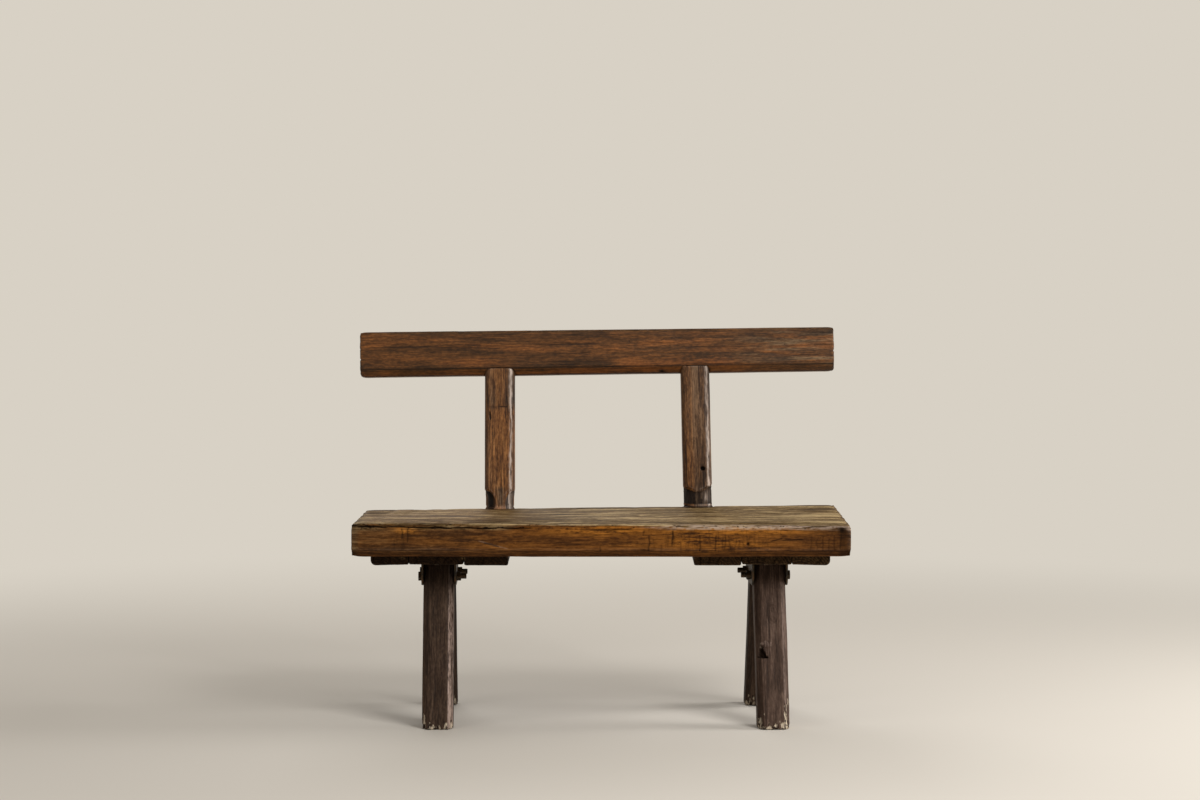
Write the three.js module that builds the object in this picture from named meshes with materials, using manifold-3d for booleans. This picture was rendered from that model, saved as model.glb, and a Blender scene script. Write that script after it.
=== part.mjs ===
// A rustic monks bench: a thick, twisted seat plank, a low back rail on two posts,
// and two trestles whose legs are bolted into iron brackets under the plank.
// Millimetres. +X is the right of a viewer in front, +Y is the back, +Z is up.
import * as THREE from 'three';
import { mergeVertices } from 'three/addons/utils/BufferGeometryUtils.js';
import Module from 'manifold-3d';

const wasm = await Module();
wasm.setup();

const degrees = THREE.MathUtils.degToRad;

// Allowances shared by every fit and cut
const seatingGap = 0.3;
const fitClearance = 0.3;
const cutOverrun = 6;

// Facet counts
const cornerSteps = 2;
const rollSteps = 5;
const plankSteps = 8;
const turnedSides = 40;
const coveSteps = 5;
const boltSides = 24;
const screwSides = 16;
const hexagonSides = 6;

// Seat plank
const seatLength = 1087.5;
const seatDepth = 466;
const seatForwardReach = 210;
const seatUndersideHeight = 381;
const seatThickness = 69;
const seatLiftFrontLeft = 3;
const seatLiftFrontRight = -3;
const seatLiftBackLeft = -7;
const seatLiftBackRight = 6;
const seatBackCutLeft = 5;
const seatBackCutRight = 8;
const seatFrontArris = 7;
const seatFrontChamferHeight = 11;
const seatFrontChamferDepth = 8;
const seatRearRollWidth = 50;
const seatRearRollDrop = 30;
const seatRearArris = 5;

// Back posts: square bars turned round at the foot
const postBackMargin = 38;
const postRecline = degrees(5.5);
const postCornerRadius = 14;
const postHousingDepth = 20;
const postTenonRadius = 20;
const railTenonWidth = 34;
const railTenonDepth = 30;
const railTenonLength = 55;
const wedgeThickness = 4;
const wedgeTipThickness = 2;
const wedgeLength = 32;
const wedgeWidth = 30;
const footRingHeight = 6;
const footGrooveHeight = 2;
const footCoveWidth = 11;

// Back rail
const railLength = 1088;
const railOffset = -7;
const railThickness = 66;
const railHeight = 102;
const railHeightGain = 1.4;
const railRise = 355.2;
const railTilt = degrees(0.73);
const railChamferHeight = 16;
const railChamferDepth = 15;
const railTopBevel = 6;
const railRearRadius = 9;
const railUnderArris = 4;

// Trestles
const boltSpread = 96;
const legSplay = degrees(21.5);
const legThickness = 68;
const legChamfer = 12;
const legRidgeGap = 3;

// Iron brackets
const bracketThickness = 4.2;
const bracketEarDrop = 56.5;
const bracketEarRadius = 22;
const bracketScrewMargin = 2;
const bracketEndMargin = 1.5;

// Timber under the plank
const cleatDepth = 340;
const cleatThickness = 24;
const cleatEndRadius = 11;
const cleatArris = 2;
const headBlockThickness = 22;
const seamGap = 1;
const cleatScrewSpread = 240;
const headBlockScrewSpread = 286;

// Bolts, nuts and screws
const boltRadius = 6;
const boltHeadThickness = 7.5;
const hexagonAcrossFlats = 19;
const hexagonChamfer = 1.2;
const nutThickness = 9.5;
const boltProtrusion = 12;
const boltTipChamfer = 1;
const screwRadius = 2.5;
const screwHeadRadius = 5.5;
const screwHeadHeight = 3;
const screwTipLength = 6;
const screwGrip = 18;
const screwCountersink = 1.5;

// Left end
const leftTrestleInset = 185;
const leftTrestleYaw = degrees(0.8);
const leftBoltDrop = 61;
const leftLegWidth = 68.5;
const leftHeadBlockShift = 0.5;
const leftHeadBlockWidth = 119.8;
const leftCleatInset = 40.75;
const leftCleatInnerSpan = 157.2;
const leftPostInset = 313.25;
const leftPostLean = degrees(0);
const leftPostWidth = 69;
const leftPostDepth = 64;
const leftTurnedRadius = 33.6;
const leftTurnedHeight = 24;
const leftCoveHeight = 22;
const leftRingRadius = 34.4;
const leftRingTop = 2.5;
const leftGrooveRadius = 32.6;

// Right end
const rightTrestleInset = 170.25;
const rightTrestleYaw = degrees(2.3);
const rightBoltDrop = 58;
const rightLegWidth = 70.5;
const rightHeadBlockShift = -7.9;
const rightHeadBlockWidth = 109.5;
const rightCleatInset = 38.75;
const rightCleatInnerSpan = 167.8;
const rightPostInset = 318.25;
const rightPostLean = degrees(-1.3);
const rightPostWidth = 66;
const rightPostDepth = 66;
const rightTurnedRadius = 33;
const rightTurnedHeight = 36;
const rightCoveHeight = 10;
const rightRingRadius = 35.7;
const rightRingTop = 1.5;
const rightGrooveRadius = 32.2;

// What differs between the two ends of the bench. Insets are from the plank's end.
const ends = [
  {
    name: 'left',
    sign: -1,
    trestleReach: seatLength / 2 - leftTrestleInset,
    trestleYaw: leftTrestleYaw,
    boltHeight: seatUndersideHeight - leftBoltDrop,
    legWidth: leftLegWidth,
    headBlockReach: seatLength / 2 - leftTrestleInset + leftHeadBlockShift,
    headBlockWidth: leftHeadBlockWidth,
    cleatOuterReach: seatLength / 2 - leftCleatInset,
    cleatInnerReach: seatLength / 2 - leftTrestleInset - leftCleatInnerSpan,
    postReach: seatLength / 2 - leftPostInset,
    postLean: leftPostLean,
    postWidth: leftPostWidth,
    postDepth: leftPostDepth,
    turnedRadius: leftTurnedRadius,
    turnedHeight: leftTurnedHeight,
    coveHeight: leftCoveHeight,
    ringRadius: leftRingRadius,
    ringTop: leftRingTop,
    grooveRadius: leftGrooveRadius,
  },
  {
    name: 'right',
    sign: 1,
    trestleReach: seatLength / 2 - rightTrestleInset,
    trestleYaw: rightTrestleYaw,
    boltHeight: seatUndersideHeight - rightBoltDrop,
    legWidth: rightLegWidth,
    headBlockReach: seatLength / 2 - rightTrestleInset + rightHeadBlockShift,
    headBlockWidth: rightHeadBlockWidth,
    cleatOuterReach: seatLength / 2 - rightCleatInset,
    cleatInnerReach: seatLength / 2 - rightTrestleInset - rightCleatInnerSpan,
    postReach: seatLength / 2 - rightPostInset,
    postLean: rightPostLean,
    postWidth: rightPostWidth,
    postDepth: rightPostDepth,
    turnedRadius: rightTurnedRadius,
    turnedHeight: rightTurnedHeight,
    coveHeight: rightCoveHeight,
    ringRadius: rightRingRadius,
    ringTop: rightRingTop,
    grooveRadius: rightGrooveRadius,
  },
];

const seatFront = -seatForwardReach;
const seatBack = seatDepth - seatForwardReach;
const postSetBack = seatBack - postBackMargin;
const railCentreHeight = seatUndersideHeight + seatThickness + railRise;
const cleatUnderside = seatUndersideHeight - seatingGap - cleatThickness;
const headBlockUnderside = seatUndersideHeight - seatingGap - headBlockThickness;
const bracketTop = headBlockUnderside - seatingGap;
const legTop = bracketTop - bracketThickness - seatingGap;
const woodColours = {
  seat: 0x6b4629,
  rail: 0x4a3020,
  post: 0x63432b,
  leg: 0x3a2e28,
  cleat: 0x2a1a10,
};
const ironColour = 0x1d1a15;

const axisX = new THREE.Vector3(1, 0, 0);
const axisY = new THREE.Vector3(0, 1, 0);
const axisZ = new THREE.Vector3(0, 0, 1);

// A closed geometry as a solid, without the slivers that a lathe leaves on its axis
function solidFrom(geometry) {
  const bare = geometry.clone();
  bare.deleteAttribute('normal');
  bare.deleteAttribute('uv');
  const welded = mergeVertices(bare);
  const corners = welded.index.array;
  const kept = [];
  for (let i = 0; i < corners.length; i += 3) {
    const [a, b, c] = corners.slice(i, i + 3);
    if (a !== b && b !== c && c !== a) {
      kept.push(a, b, c);
    }
  }
  return new wasm.Manifold(
    new wasm.Mesh({
      numProp: 3,
      vertProperties: new Float32Array(welded.attributes.position.array),
      triVerts: new Uint32Array(kept),
    }),
  );
}

function geometryFrom(solid) {
  const mesh = solid.getMesh();
  const geometry = new THREE.BufferGeometry();
  geometry.setAttribute('position', new THREE.BufferAttribute(new Float32Array(mesh.vertProperties), 3));
  geometry.setIndex(new THREE.BufferAttribute(new Uint32Array(mesh.triVerts), 1));
  geometry.computeVertexNormals();
  return geometry;
}

// A placing as a matrix, from a position and Euler angles
function placing(x, y, z, turnX = 0, turnY = 0, turnZ = 0) {
  const turn = new THREE.Quaternion().setFromEuler(new THREE.Euler(turnX, turnY, turnZ));
  return new THREE.Matrix4().compose(new THREE.Vector3(x, y, z), turn, new THREE.Vector3(1, 1, 1));
}

function moved(solid, matrix) {
  return solid.transform(matrix.elements);
}

// A solid known in one placing, told in another
function seenFrom(solid, own, viewer) {
  return moved(solid, viewer.clone().invert().multiply(own));
}

function block(width, depth, height, x = 0, y = 0, z = 0) {
  const geometry = new THREE.BoxGeometry(width, depth, height);
  geometry.translate(x, y, z);
  return solidFrom(geometry);
}

function extruded(shape, length, settings = {}) {
  return new THREE.ExtrudeGeometry(shape, {
    depth: length,
    bevelEnabled: false,
    curveSegments: cornerSteps,
    ...settings,
  });
}

// A section drawn across Y and Z, drawn out along X about the middle
function alongX(shape, length, settings) {
  const geometry = extruded(shape, length, settings);
  geometry.translate(0, 0, -length / 2);
  geometry.applyMatrix4(new THREE.Matrix4().makeBasis(axisY, axisZ, axisX));
  return geometry;
}

// A section drawn across X and Z, drawn out along Y about the middle
function alongY(shape, length, settings) {
  const geometry = extruded(shape, length, settings);
  geometry.translate(0, 0, -length / 2);
  geometry.applyMatrix4(new THREE.Matrix4().makeBasis(axisX, axisZ, axisY.clone().negate()));
  return geometry;
}

// A bar along Z from one height to another
function bar(shape, low, high) {
  const geometry = extruded(shape, high - low);
  geometry.translate(0, 0, low);
  return solidFrom(geometry);
}

// A solid of revolution about Z from [radius, height] points, which start and end on the axis
function turned(points, sides) {
  const profile = points.map(([radius, height]) => new THREE.Vector2(radius, height));
  const geometry = new THREE.LatheGeometry(profile, sides);
  geometry.rotateX(Math.PI / 2);
  return solidFrom(geometry);
}

function rod(radius, low, high, sides) {
  return turned([[0, low], [radius, low], [radius, high], [0, high]], sides);
}

function chamferedRectangle(width, height, chamfer) {
  const x = width / 2;
  const y = height / 2;
  const shape = new THREE.Shape();
  shape.moveTo(chamfer - x, -y);
  shape.lineTo(x - chamfer, -y);
  shape.lineTo(x, chamfer - y);
  shape.lineTo(x, y - chamfer);
  shape.lineTo(x - chamfer, y);
  shape.lineTo(chamfer - x, y);
  shape.lineTo(-x, y - chamfer);
  shape.lineTo(-x, chamfer - y);
  shape.closePath();
  return shape;
}

function roundedRectangle(width, height, radius) {
  const x = width / 2 - radius;
  const y = height / 2 - radius;
  const shape = new THREE.Shape();
  shape.absarc(x, -y, radius, -Math.PI / 2, 0, false);
  shape.absarc(x, y, radius, 0, Math.PI / 2, false);
  shape.absarc(-x, y, radius, Math.PI / 2, Math.PI, false);
  shape.absarc(-x, -y, radius, Math.PI, Math.PI * 1.5, false);
  shape.closePath();
  return shape;
}

function rectangle(width, height) {
  return chamferedRectangle(width, height, 0);
}

const bench = new THREE.Group();

function addPiece(parent, name, solid, colour, metal = false) {
  const material = new THREE.MeshStandardMaterial({
    color: colour,
    roughness: metal ? 0.55 : 0.75,
    metalness: metal ? 0.8 : 0,
  });
  const mesh = new THREE.Mesh(geometryFrom(solid), material);
  mesh.name = name;
  parent.add(mesh);
  return mesh;
}

function addPlaced(parent, name, solid, colour, matrix, metal = false) {
  const mesh = addPiece(parent, name, solid, colour, metal);
  matrix.decompose(mesh.position, mesh.quaternion, mesh.scale);
  return mesh;
}

// How far the top of the plank stands above or below its nominal thickness: the twist of the plank
function seatLift(x, y) {
  const rightShare = THREE.MathUtils.clamp(x / seatLength + 0.5, 0, 1);
  const backShare = THREE.MathUtils.clamp((y - seatFront) / seatDepth, 0, 1);
  const front = THREE.MathUtils.lerp(seatLiftFrontLeft, seatLiftFrontRight, rightShare);
  const back = THREE.MathUtils.lerp(seatLiftBackLeft, seatLiftBackRight, rightShare);
  return THREE.MathUtils.lerp(front, back, backShare);
}

function seatTopHeight(x, y) {
  return seatUndersideHeight + seatThickness + seatLift(x, y);
}

// Placings of the posts, the rail and the trestles in the bench
function postPlacing(end) {
  const x = end.sign * end.postReach;
  return placing(x, postSetBack, seatTopHeight(x, postSetBack), -postRecline, end.postLean);
}

const railSetBack = postSetBack + railRise * Math.tan(postRecline);
const railPlacing = placing(railOffset, railSetBack, railCentreHeight, -postRecline, -railTilt);

function trestlePlacing(end) {
  return placing(end.sign * end.trestleReach, 0, 0, 0, 0, end.trestleYaw);
}

const benchPlacing = new THREE.Matrix4();

// How far in front of a trestle's middle the leg's outer face lies, at the bracket screws' heads
function legFaceReach(end) {
  const rise = bracketTop - bracketThickness - seatingGap - screwHeadHeight - end.boltHeight;
  return boltSpread / 2 + legThickness / 2 / Math.cos(legSplay) - rise * Math.tan(legSplay);
}

function bracketScrewReach(end) {
  return legFaceReach(end) + screwHeadRadius + bracketScrewMargin;
}

function bracketLength(end) {
  return 2 * (bracketScrewReach(end) + screwHeadRadius + bracketEndMargin);
}

// Wood screws: a pan head at the origin with the shank going up, and the hole that takes it
function screwSolid(length) {
  return turned(
    [
      [0, -screwHeadHeight],
      [screwHeadRadius - screwCountersink, -screwHeadHeight],
      [screwHeadRadius, -screwCountersink],
      [screwHeadRadius, 0],
      [screwRadius, 0],
      [screwRadius, length - screwTipLength],
      [0, length],
    ],
    screwSides,
  );
}

function screwHole(length) {
  return rod(screwRadius + fitClearance, -cutOverrun, length + seatingGap, screwSides);
}

// A screw up through one board into the wood above it
function screwLengthThrough(thickness) {
  return seatingGap + thickness + seatingGap + screwGrip;
}

// Every screw of the bench: its name, place, length and what it goes through
const screws = [];
for (const end of ends) {
  const blockOuter = end.headBlockReach + end.headBlockWidth / 2;
  const blockInner = end.headBlockReach - end.headBlockWidth / 2;
  const outerMiddle = (blockOuter + seamGap + end.cleatOuterReach) / 2;
  const innerMiddle = (blockInner - seamGap + end.cleatInnerReach) / 2;
  for (const [row, way] of [['front', -1], ['back', 1]]) {
    const cleatY = (way * cleatScrewSpread) / 2;
    const blockY = (way * headBlockScrewSpread) / 2;
    screws.push(
      {
        name: `${end.name}_outer_cleat_${row}_screw`,
        matrix: placing(end.sign * outerMiddle, cleatY, cleatUnderside - seatingGap),
        length: screwLengthThrough(cleatThickness),
      },
      {
        name: `${end.name}_inner_cleat_${row}_screw`,
        matrix: placing(end.sign * innerMiddle, cleatY, cleatUnderside - seatingGap),
        length: screwLengthThrough(cleatThickness),
      },
      {
        name: `${end.name}_head_block_${row}_screw`,
        matrix: placing(end.sign * end.headBlockReach, blockY, headBlockUnderside - seatingGap),
        length: screwLengthThrough(headBlockThickness),
      },
      {
        name: `${end.name}_bracket_${row}_screw`,
        matrix: trestlePlacing(end).multiply(
          placing(0, way * bracketScrewReach(end), bracketTop - bracketThickness - seatingGap),
        ),
        length: screwLengthThrough(bracketThickness),
      },
    );
  }
}

function withScrewHoles(solid, own) {
  let drilled = solid;
  for (const screw of screws) {
    drilled = drilled.subtract(seenFrom(screwHole(screw.length), screw.matrix, own));
  }
  return drilled;
}

// A post is a rounded square bar inside a turned envelope, with a ringed foot below it
function postFootProfile(end) {
  const ringBottom = end.ringTop - footRingHeight;
  const nose = end.ringRadius - end.turnedRadius + footRingHeight / 4;
  return [
    [0, -seatThickness * 2],
    [postTenonRadius, -seatThickness * 2],
    [postTenonRadius, -postHousingDepth],
    [end.turnedRadius, -postHousingDepth],
    [end.turnedRadius, ringBottom],
    [end.ringRadius, ringBottom + nose],
    [end.ringRadius, end.ringTop - nose],
    [end.grooveRadius, end.ringTop],
    [0, end.ringTop],
  ];
}

function postEnvelopeProfile(end, top) {
  const grooveTop = end.ringTop + footGrooveHeight;
  const points = [
    [0, end.ringTop - cutOverrun],
    [end.grooveRadius, end.ringTop - cutOverrun],
    [end.grooveRadius, grooveTop],
    [end.turnedRadius, grooveTop + footGrooveHeight],
    [end.turnedRadius, end.turnedHeight],
  ];
  for (let step = 1; step <= coveSteps; step += 1) {
    const turn = (Math.PI / 2) * (step / coveSteps);
    points.push([
      end.turnedRadius + footCoveWidth * (1 - Math.cos(turn)),
      end.turnedHeight + end.coveHeight * Math.sin(turn),
    ]);
  }
  const clear = end.postWidth + end.postDepth;
  points.push([clear, end.turnedHeight + end.coveHeight], [clear, top], [0, top]);
  return points;
}

// The space that a post's shoulder takes in the rail, in the rail's placing
function belowShoulder(extraDepth) {
  const top = railChamferHeight - railHeight / 2 + extraDepth;
  const low = top - seatThickness - railHeight * 5;
  return block(railLength * 2, railHeight * 5, top - low, 0, 0, (top + low) / 2);
}

// A height, up a post, that is above the whole rail
const postReachHeight = railRise + railHeight;

function postTenonTop(end) {
  const own = postPlacing(end);
  const shoulder = new THREE.Vector3(0, 0, railChamferHeight - railHeight / 2).applyMatrix4(railPlacing);
  const base = new THREE.Vector3().setFromMatrixPosition(own);
  return (shoulder.z - base.z) / Math.cos(postRecline) + railTenonLength;
}

function railTenonBar(end, extra) {
  const section = rectangle(railTenonWidth + 2 * extra, railTenonDepth + 2 * extra);
  return bar(section, postTenonTop(end) - railTenonLength * 2, postTenonTop(end) + extra);
}

function wedgeSection(extra) {
  const half = wedgeThickness / 2 + extra;
  const tip = wedgeTipThickness / 2 + extra;
  const shape = new THREE.Shape();
  shape.moveTo(-half, -cutOverrun);
  shape.lineTo(half, -cutOverrun);
  shape.lineTo(half, 0);
  shape.lineTo(tip, wedgeLength + extra);
  shape.lineTo(-tip, wedgeLength + extra);
  shape.lineTo(-half, 0);
  shape.closePath();
  return shape;
}

// The wedge's placing: at the tenon's lower end, in the post's own placing
function wedgePlacing(end) {
  const x = end.sign * end.postReach;
  const drop = seatTopHeight(x, postSetBack) - seatUndersideHeight;
  return postPlacing(end).multiply(placing(0, 0, -drop / Math.cos(postRecline)));
}

// Everything above the plane of the plank's underside
function aboveUnderside() {
  const size = seatLength * 2;
  return block(size, size, size, 0, 0, seatUndersideHeight + size / 2);
}

function postSolid(end) {
  const own = postPlacing(end);
  const top = postReachHeight;
  const section = roundedRectangle(end.postWidth, end.postDepth, postCornerRadius);
  const shaft = bar(section, end.ringTop - cutOverrun, top + cutOverrun)
    .intersect(turned(postEnvelopeProfile(end, top + cutOverrun), turnedSides))
    .intersect(seenFrom(belowShoulder(-seatingGap), railPlacing, own));
  const slot = solidFrom(alongY(wedgeSection(fitClearance), postTenonRadius * 2 + cutOverrun));
  return shaft
    .add(turned(postFootProfile(end), turnedSides))
    .add(railTenonBar(end, 0))
    .intersect(seenFrom(aboveUnderside(), benchPlacing, own))
    .subtract(seenFrom(slot, wedgePlacing(end), own));
}

function wedgeSolid(end) {
  const own = wedgePlacing(end);
  const section = wedgeSection(0);
  return solidFrom(alongY(section, wedgeWidth)).intersect(seenFrom(aboveUnderside(), benchPlacing, own));
}

// The hole for a post's foot and tenon in the plank
function postSocket(end) {
  const profile = [
    [0, -seatThickness * 2],
    [postTenonRadius + fitClearance, -seatThickness * 2],
    [postTenonRadius + fitClearance, -postHousingDepth - seatingGap],
    [end.ringRadius + fitClearance, -postHousingDepth - seatingGap],
    [end.ringRadius + fitClearance, seatThickness],
    [0, seatThickness],
  ];
  return turned(profile, turnedSides);
}

function seatSection() {
  const shape = new THREE.Shape();
  shape.moveTo(seatFront + seatFrontChamferDepth, 0);
  shape.lineTo(seatBack - seatRearArris, 0);
  shape.lineTo(seatBack, seatRearArris);
  shape.lineTo(seatBack, seatThickness - seatRearRollDrop);
  shape.absellipse(
    seatBack - seatRearRollWidth,
    seatThickness - seatRearRollDrop,
    seatRearRollWidth,
    seatRearRollDrop,
    0,
    Math.PI / 2,
    false,
  );
  shape.lineTo(seatFront + seatFrontArris, seatThickness);
  shape.absarc(
    seatFront + seatFrontArris,
    seatThickness - seatFrontArris,
    seatFrontArris,
    Math.PI / 2,
    Math.PI,
    false,
  );
  shape.lineTo(seatFront, seatFrontChamferHeight);
  shape.closePath();
  return shape;
}

// The plank's section is drawn out along X, then twisted and cut in at the back of each end
function seatSolid() {
  const geometry = alongX(seatSection(), seatLength, { steps: plankSteps, curveSegments: rollSteps });
  const position = geometry.attributes.position;
  for (let i = 0; i < position.count; i += 1) {
    const x = position.getX(i);
    const y = position.getY(i);
    const z = position.getZ(i);
    const backShare = (y - seatFront) / seatDepth;
    const outwardShare = x / (seatLength / 2);
    const backCut = x < 0 ? seatBackCutLeft : seatBackCutRight;
    position.setX(i, x - outwardShare * backShare * backCut);
    position.setZ(i, seatUndersideHeight + z + seatLift(x, y) * (z / seatThickness));
  }
  let plank = solidFrom(geometry);
  for (const end of ends) {
    plank = plank.subtract(seenFrom(postSocket(end), postPlacing(end), benchPlacing));
  }
  return withScrewHoles(plank, benchPlacing);
}

function railSection() {
  const front = -railThickness / 2;
  const back = railThickness / 2;
  const low = -railHeight / 2;
  const high = railHeight / 2;
  const shape = new THREE.Shape();
  shape.moveTo(front + railChamferDepth, low);
  shape.lineTo(back - railUnderArris, low);
  shape.lineTo(back, low + railUnderArris);
  shape.lineTo(back, high - railRearRadius);
  shape.absarc(back - railRearRadius, high - railRearRadius, railRearRadius, 0, Math.PI / 2, false);
  shape.lineTo(front + railTopBevel, high);
  shape.lineTo(front, high - railTopBevel);
  shape.lineTo(front, low + railChamferHeight);
  shape.closePath();
  return shape;
}

// The rail is a little higher at its left end than at its right end
function railSolid() {
  const geometry = alongX(railSection(), railLength, { steps: 1 });
  const position = geometry.attributes.position;
  for (let i = 0; i < position.count; i += 1) {
    const leftShare = -position.getX(i) / (railLength / 2);
    const height = railHeight + railHeightGain * leftShare;
    position.setZ(i, position.getZ(i) * (height / railHeight));
  }
  let rail = solidFrom(geometry);
  for (const end of ends) {
    const own = postPlacing(end);
    const width = end.postWidth + 2 * fitClearance;
    const depth = end.postDepth + 2 * fitClearance;
    const section = roundedRectangle(width, depth, postCornerRadius + fitClearance);
    const housing = seenFrom(bar(section, 0, postReachHeight), own, railPlacing).intersect(belowShoulder(0));
    rail = rail.subtract(housing).subtract(seenFrom(railTenonBar(end, fitClearance), own, railPlacing));
  }
  return rail;
}

// A board under the plank, seen from the front, with one lower corner rounded off if it has a radius
function underBoardSection(inner, outer, thickness, sign, outerRadius) {
  const width = outer - inner;
  const corner = Math.max(outerRadius, cleatArris);
  const shape = new THREE.Shape();
  shape.moveTo(cleatArris, 0);
  if (outerRadius > 0) {
    shape.absarc(width - corner, corner, corner, -Math.PI / 2, 0, false);
  } else {
    shape.lineTo(width - corner, 0);
    shape.lineTo(width, corner);
  }
  shape.lineTo(width, thickness);
  shape.lineTo(0, thickness);
  shape.lineTo(0, cleatArris);
  shape.closePath();
  const geometry = alongY(shape, cleatDepth);
  const place = placing(sign * inner, 0, seatUndersideHeight - seatingGap - thickness);
  if (sign > 0) {
    return moved(solidFrom(geometry), place);
  }
  return moved(solidFrom(geometry), place.multiply(placing(0, 0, 0, 0, 0, Math.PI)));
}

function addUnderBoards(end) {
  const blockOuter = end.headBlockReach + end.headBlockWidth / 2;
  const blockInner = end.headBlockReach - end.headBlockWidth / 2;
  const outer = underBoardSection(blockOuter + seamGap, end.cleatOuterReach, cleatThickness, end.sign, cleatEndRadius);
  const inner = underBoardSection(end.cleatInnerReach, blockInner - seamGap, cleatThickness, end.sign, 0);
  const middle = underBoardSection(blockInner, blockOuter, headBlockThickness, end.sign, 0);
  addPiece(bench, `${end.name}_outer_cleat`, withScrewHoles(outer, benchPlacing), woodColours.cleat);
  addPiece(bench, `${end.name}_inner_cleat`, withScrewHoles(inner, benchPlacing), woodColours.cleat);
  addPiece(bench, `${end.name}_head_block`, withScrewHoles(middle, benchPlacing), woodColours.cleat);
}

function bracketInnerWidth(end) {
  return end.legWidth + 2 * seatingGap;
}

function bracketOuterWidth(end) {
  return bracketInnerWidth(end) + 2 * bracketThickness;
}

// A drilled hole across a trestle, along X at one of the two bolts
function boltHole(end, way) {
  const length = bracketOuterWidth(end) + 2 * cutOverrun;
  const hole = rod(boltRadius + fitClearance, -length / 2, length / 2, boltSides);
  return moved(hole, placing(0, (way * boltSpread) / 2, end.boltHeight, 0, Math.PI / 2, 0));
}

// The bracket is a channel that hangs open side down, its two ears rounded at their lower corners
function bracketSolid(end) {
  const outer = bracketOuterWidth(end);
  const low = bracketTop - bracketEarDrop;
  const middle = (bracketTop + low) / 2;
  const length = bracketLength(end);
  const inner = block(bracketInnerWidth(end), length + cutOverrun, bracketEarDrop, 0, 0, middle - bracketThickness);
  const channel = block(outer, length, bracketEarDrop, 0, 0, middle).subtract(inner);
  const half = length / 2;
  const side = new THREE.Shape();
  side.absarc(half - bracketEarRadius, low + bracketEarRadius, bracketEarRadius, -Math.PI / 2, 0, false);
  side.lineTo(half, bracketTop);
  side.lineTo(-half, bracketTop);
  side.absarc(bracketEarRadius - half, low + bracketEarRadius, bracketEarRadius, Math.PI, Math.PI * 1.5, false);
  side.closePath();
  const outline = solidFrom(alongX(side, outer + 2 * cutOverrun, { curveSegments: rollSteps }));
  const bracket = channel.intersect(outline).subtract(boltHole(end, -1)).subtract(boltHole(end, 1));
  return withScrewHoles(bracket, trestlePlacing(end));
}

// A leg is a chamfered bar through its bolt, cut level at the floor and under the bracket
function legSolid(end, way) {
  const reach = end.boltHeight * 2;
  const section = chamferedRectangle(end.legWidth, legThickness, legChamfer);
  const barPlacing = placing(0, (way * boltSpread) / 2, end.boltHeight, way * legSplay);
  const span = boltSpread + end.boltHeight * 4;
  const room = block(span, span, legTop, 0, way * (span / 2 + legRidgeGap / 2), legTop / 2);
  return moved(bar(section, -reach, reach), barPlacing).intersect(room).subtract(boltHole(end, way));
}

function hexagonPrism(low, high) {
  const cornerRadius = hexagonAcrossFlats / 2 / Math.cos(Math.PI / hexagonSides);
  const blunt = [
    [0, low],
    [cornerRadius - hexagonChamfer, low],
    [cornerRadius, low + hexagonChamfer / 2],
    [cornerRadius, high - hexagonChamfer / 2],
    [cornerRadius - hexagonChamfer, high],
    [0, high],
  ];
  return rod(cornerRadius, low, high, hexagonSides).intersect(turned(blunt, boltSides));
}

// A hexagon bolt along Z: the head below the origin, the shank above it
function boltSolid(end) {
  const length = 2 * seatingGap + bracketOuterWidth(end) + nutThickness + boltProtrusion;
  const shank = turned(
    [
      [0, -boltHeadThickness / 2],
      [boltRadius, -boltHeadThickness / 2],
      [boltRadius, length - boltTipChamfer],
      [boltRadius - boltTipChamfer, length],
      [0, length],
    ],
    boltSides,
  );
  return hexagonPrism(-boltHeadThickness, 0).add(shank);
}

function nutSolid() {
  return hexagonPrism(0, nutThickness).subtract(
    rod(boltRadius + fitClearance, -cutOverrun, nutThickness + cutOverrun, boltSides),
  );
}

function addTrestle(end) {
  const trestle = new THREE.Group();
  trestlePlacing(end).decompose(trestle.position, trestle.quaternion, trestle.scale);
  bench.add(trestle);
  addPiece(trestle, `${end.name}_bracket`, bracketSolid(end), ironColour, true);
  const outerFace = bracketOuterWidth(end) / 2 + seatingGap;
  const inward = (-end.sign * Math.PI) / 2;
  for (const [row, way] of [['front', -1], ['back', 1]]) {
    const y = (way * boltSpread) / 2;
    addPiece(trestle, `${end.name}_${row}_leg`, legSolid(end, way), woodColours.leg);
    const boltPlacing = placing(end.sign * outerFace, y, end.boltHeight, 0, inward, 0);
    addPlaced(trestle, `${end.name}_${row}_bolt`, boltSolid(end), ironColour, boltPlacing, true);
    const nutPlacing = placing(-end.sign * outerFace, y, end.boltHeight, 0, inward, 0);
    addPlaced(trestle, `${end.name}_${row}_nut`, nutSolid(), ironColour, nutPlacing, true);
  }
}

addPiece(bench, 'seat_plank', seatSolid(), woodColours.seat);
addPlaced(bench, 'back_rail', railSolid(), woodColours.rail, railPlacing);
for (const end of ends) {
  addPlaced(bench, `${end.name}_post`, postSolid(end), woodColours.post, postPlacing(end));
  addPlaced(bench, `${end.name}_post_wedge`, wedgeSolid(end), woodColours.seat, wedgePlacing(end));
  addUnderBoards(end);
  addTrestle(end);
}
for (const screw of screws) {
  addPlaced(bench, screw.name, screwSolid(screw.length), ironColour, screw.matrix, true);
}

// The origin lies on the floor under the middle of the whole bench
bench.updateMatrixWorld(true);
const extent = new THREE.Box3().setFromObject(bench, true);
bench.position.set(-(extent.min.x + extent.max.x) / 2, -(extent.min.y + extent.max.y) / 2, 0);

export default bench;
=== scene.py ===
import math

import bmesh
import bpy
import numpy as np
from mathutils import Matrix, Vector
from mathutils.kdtree import KDTree


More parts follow.
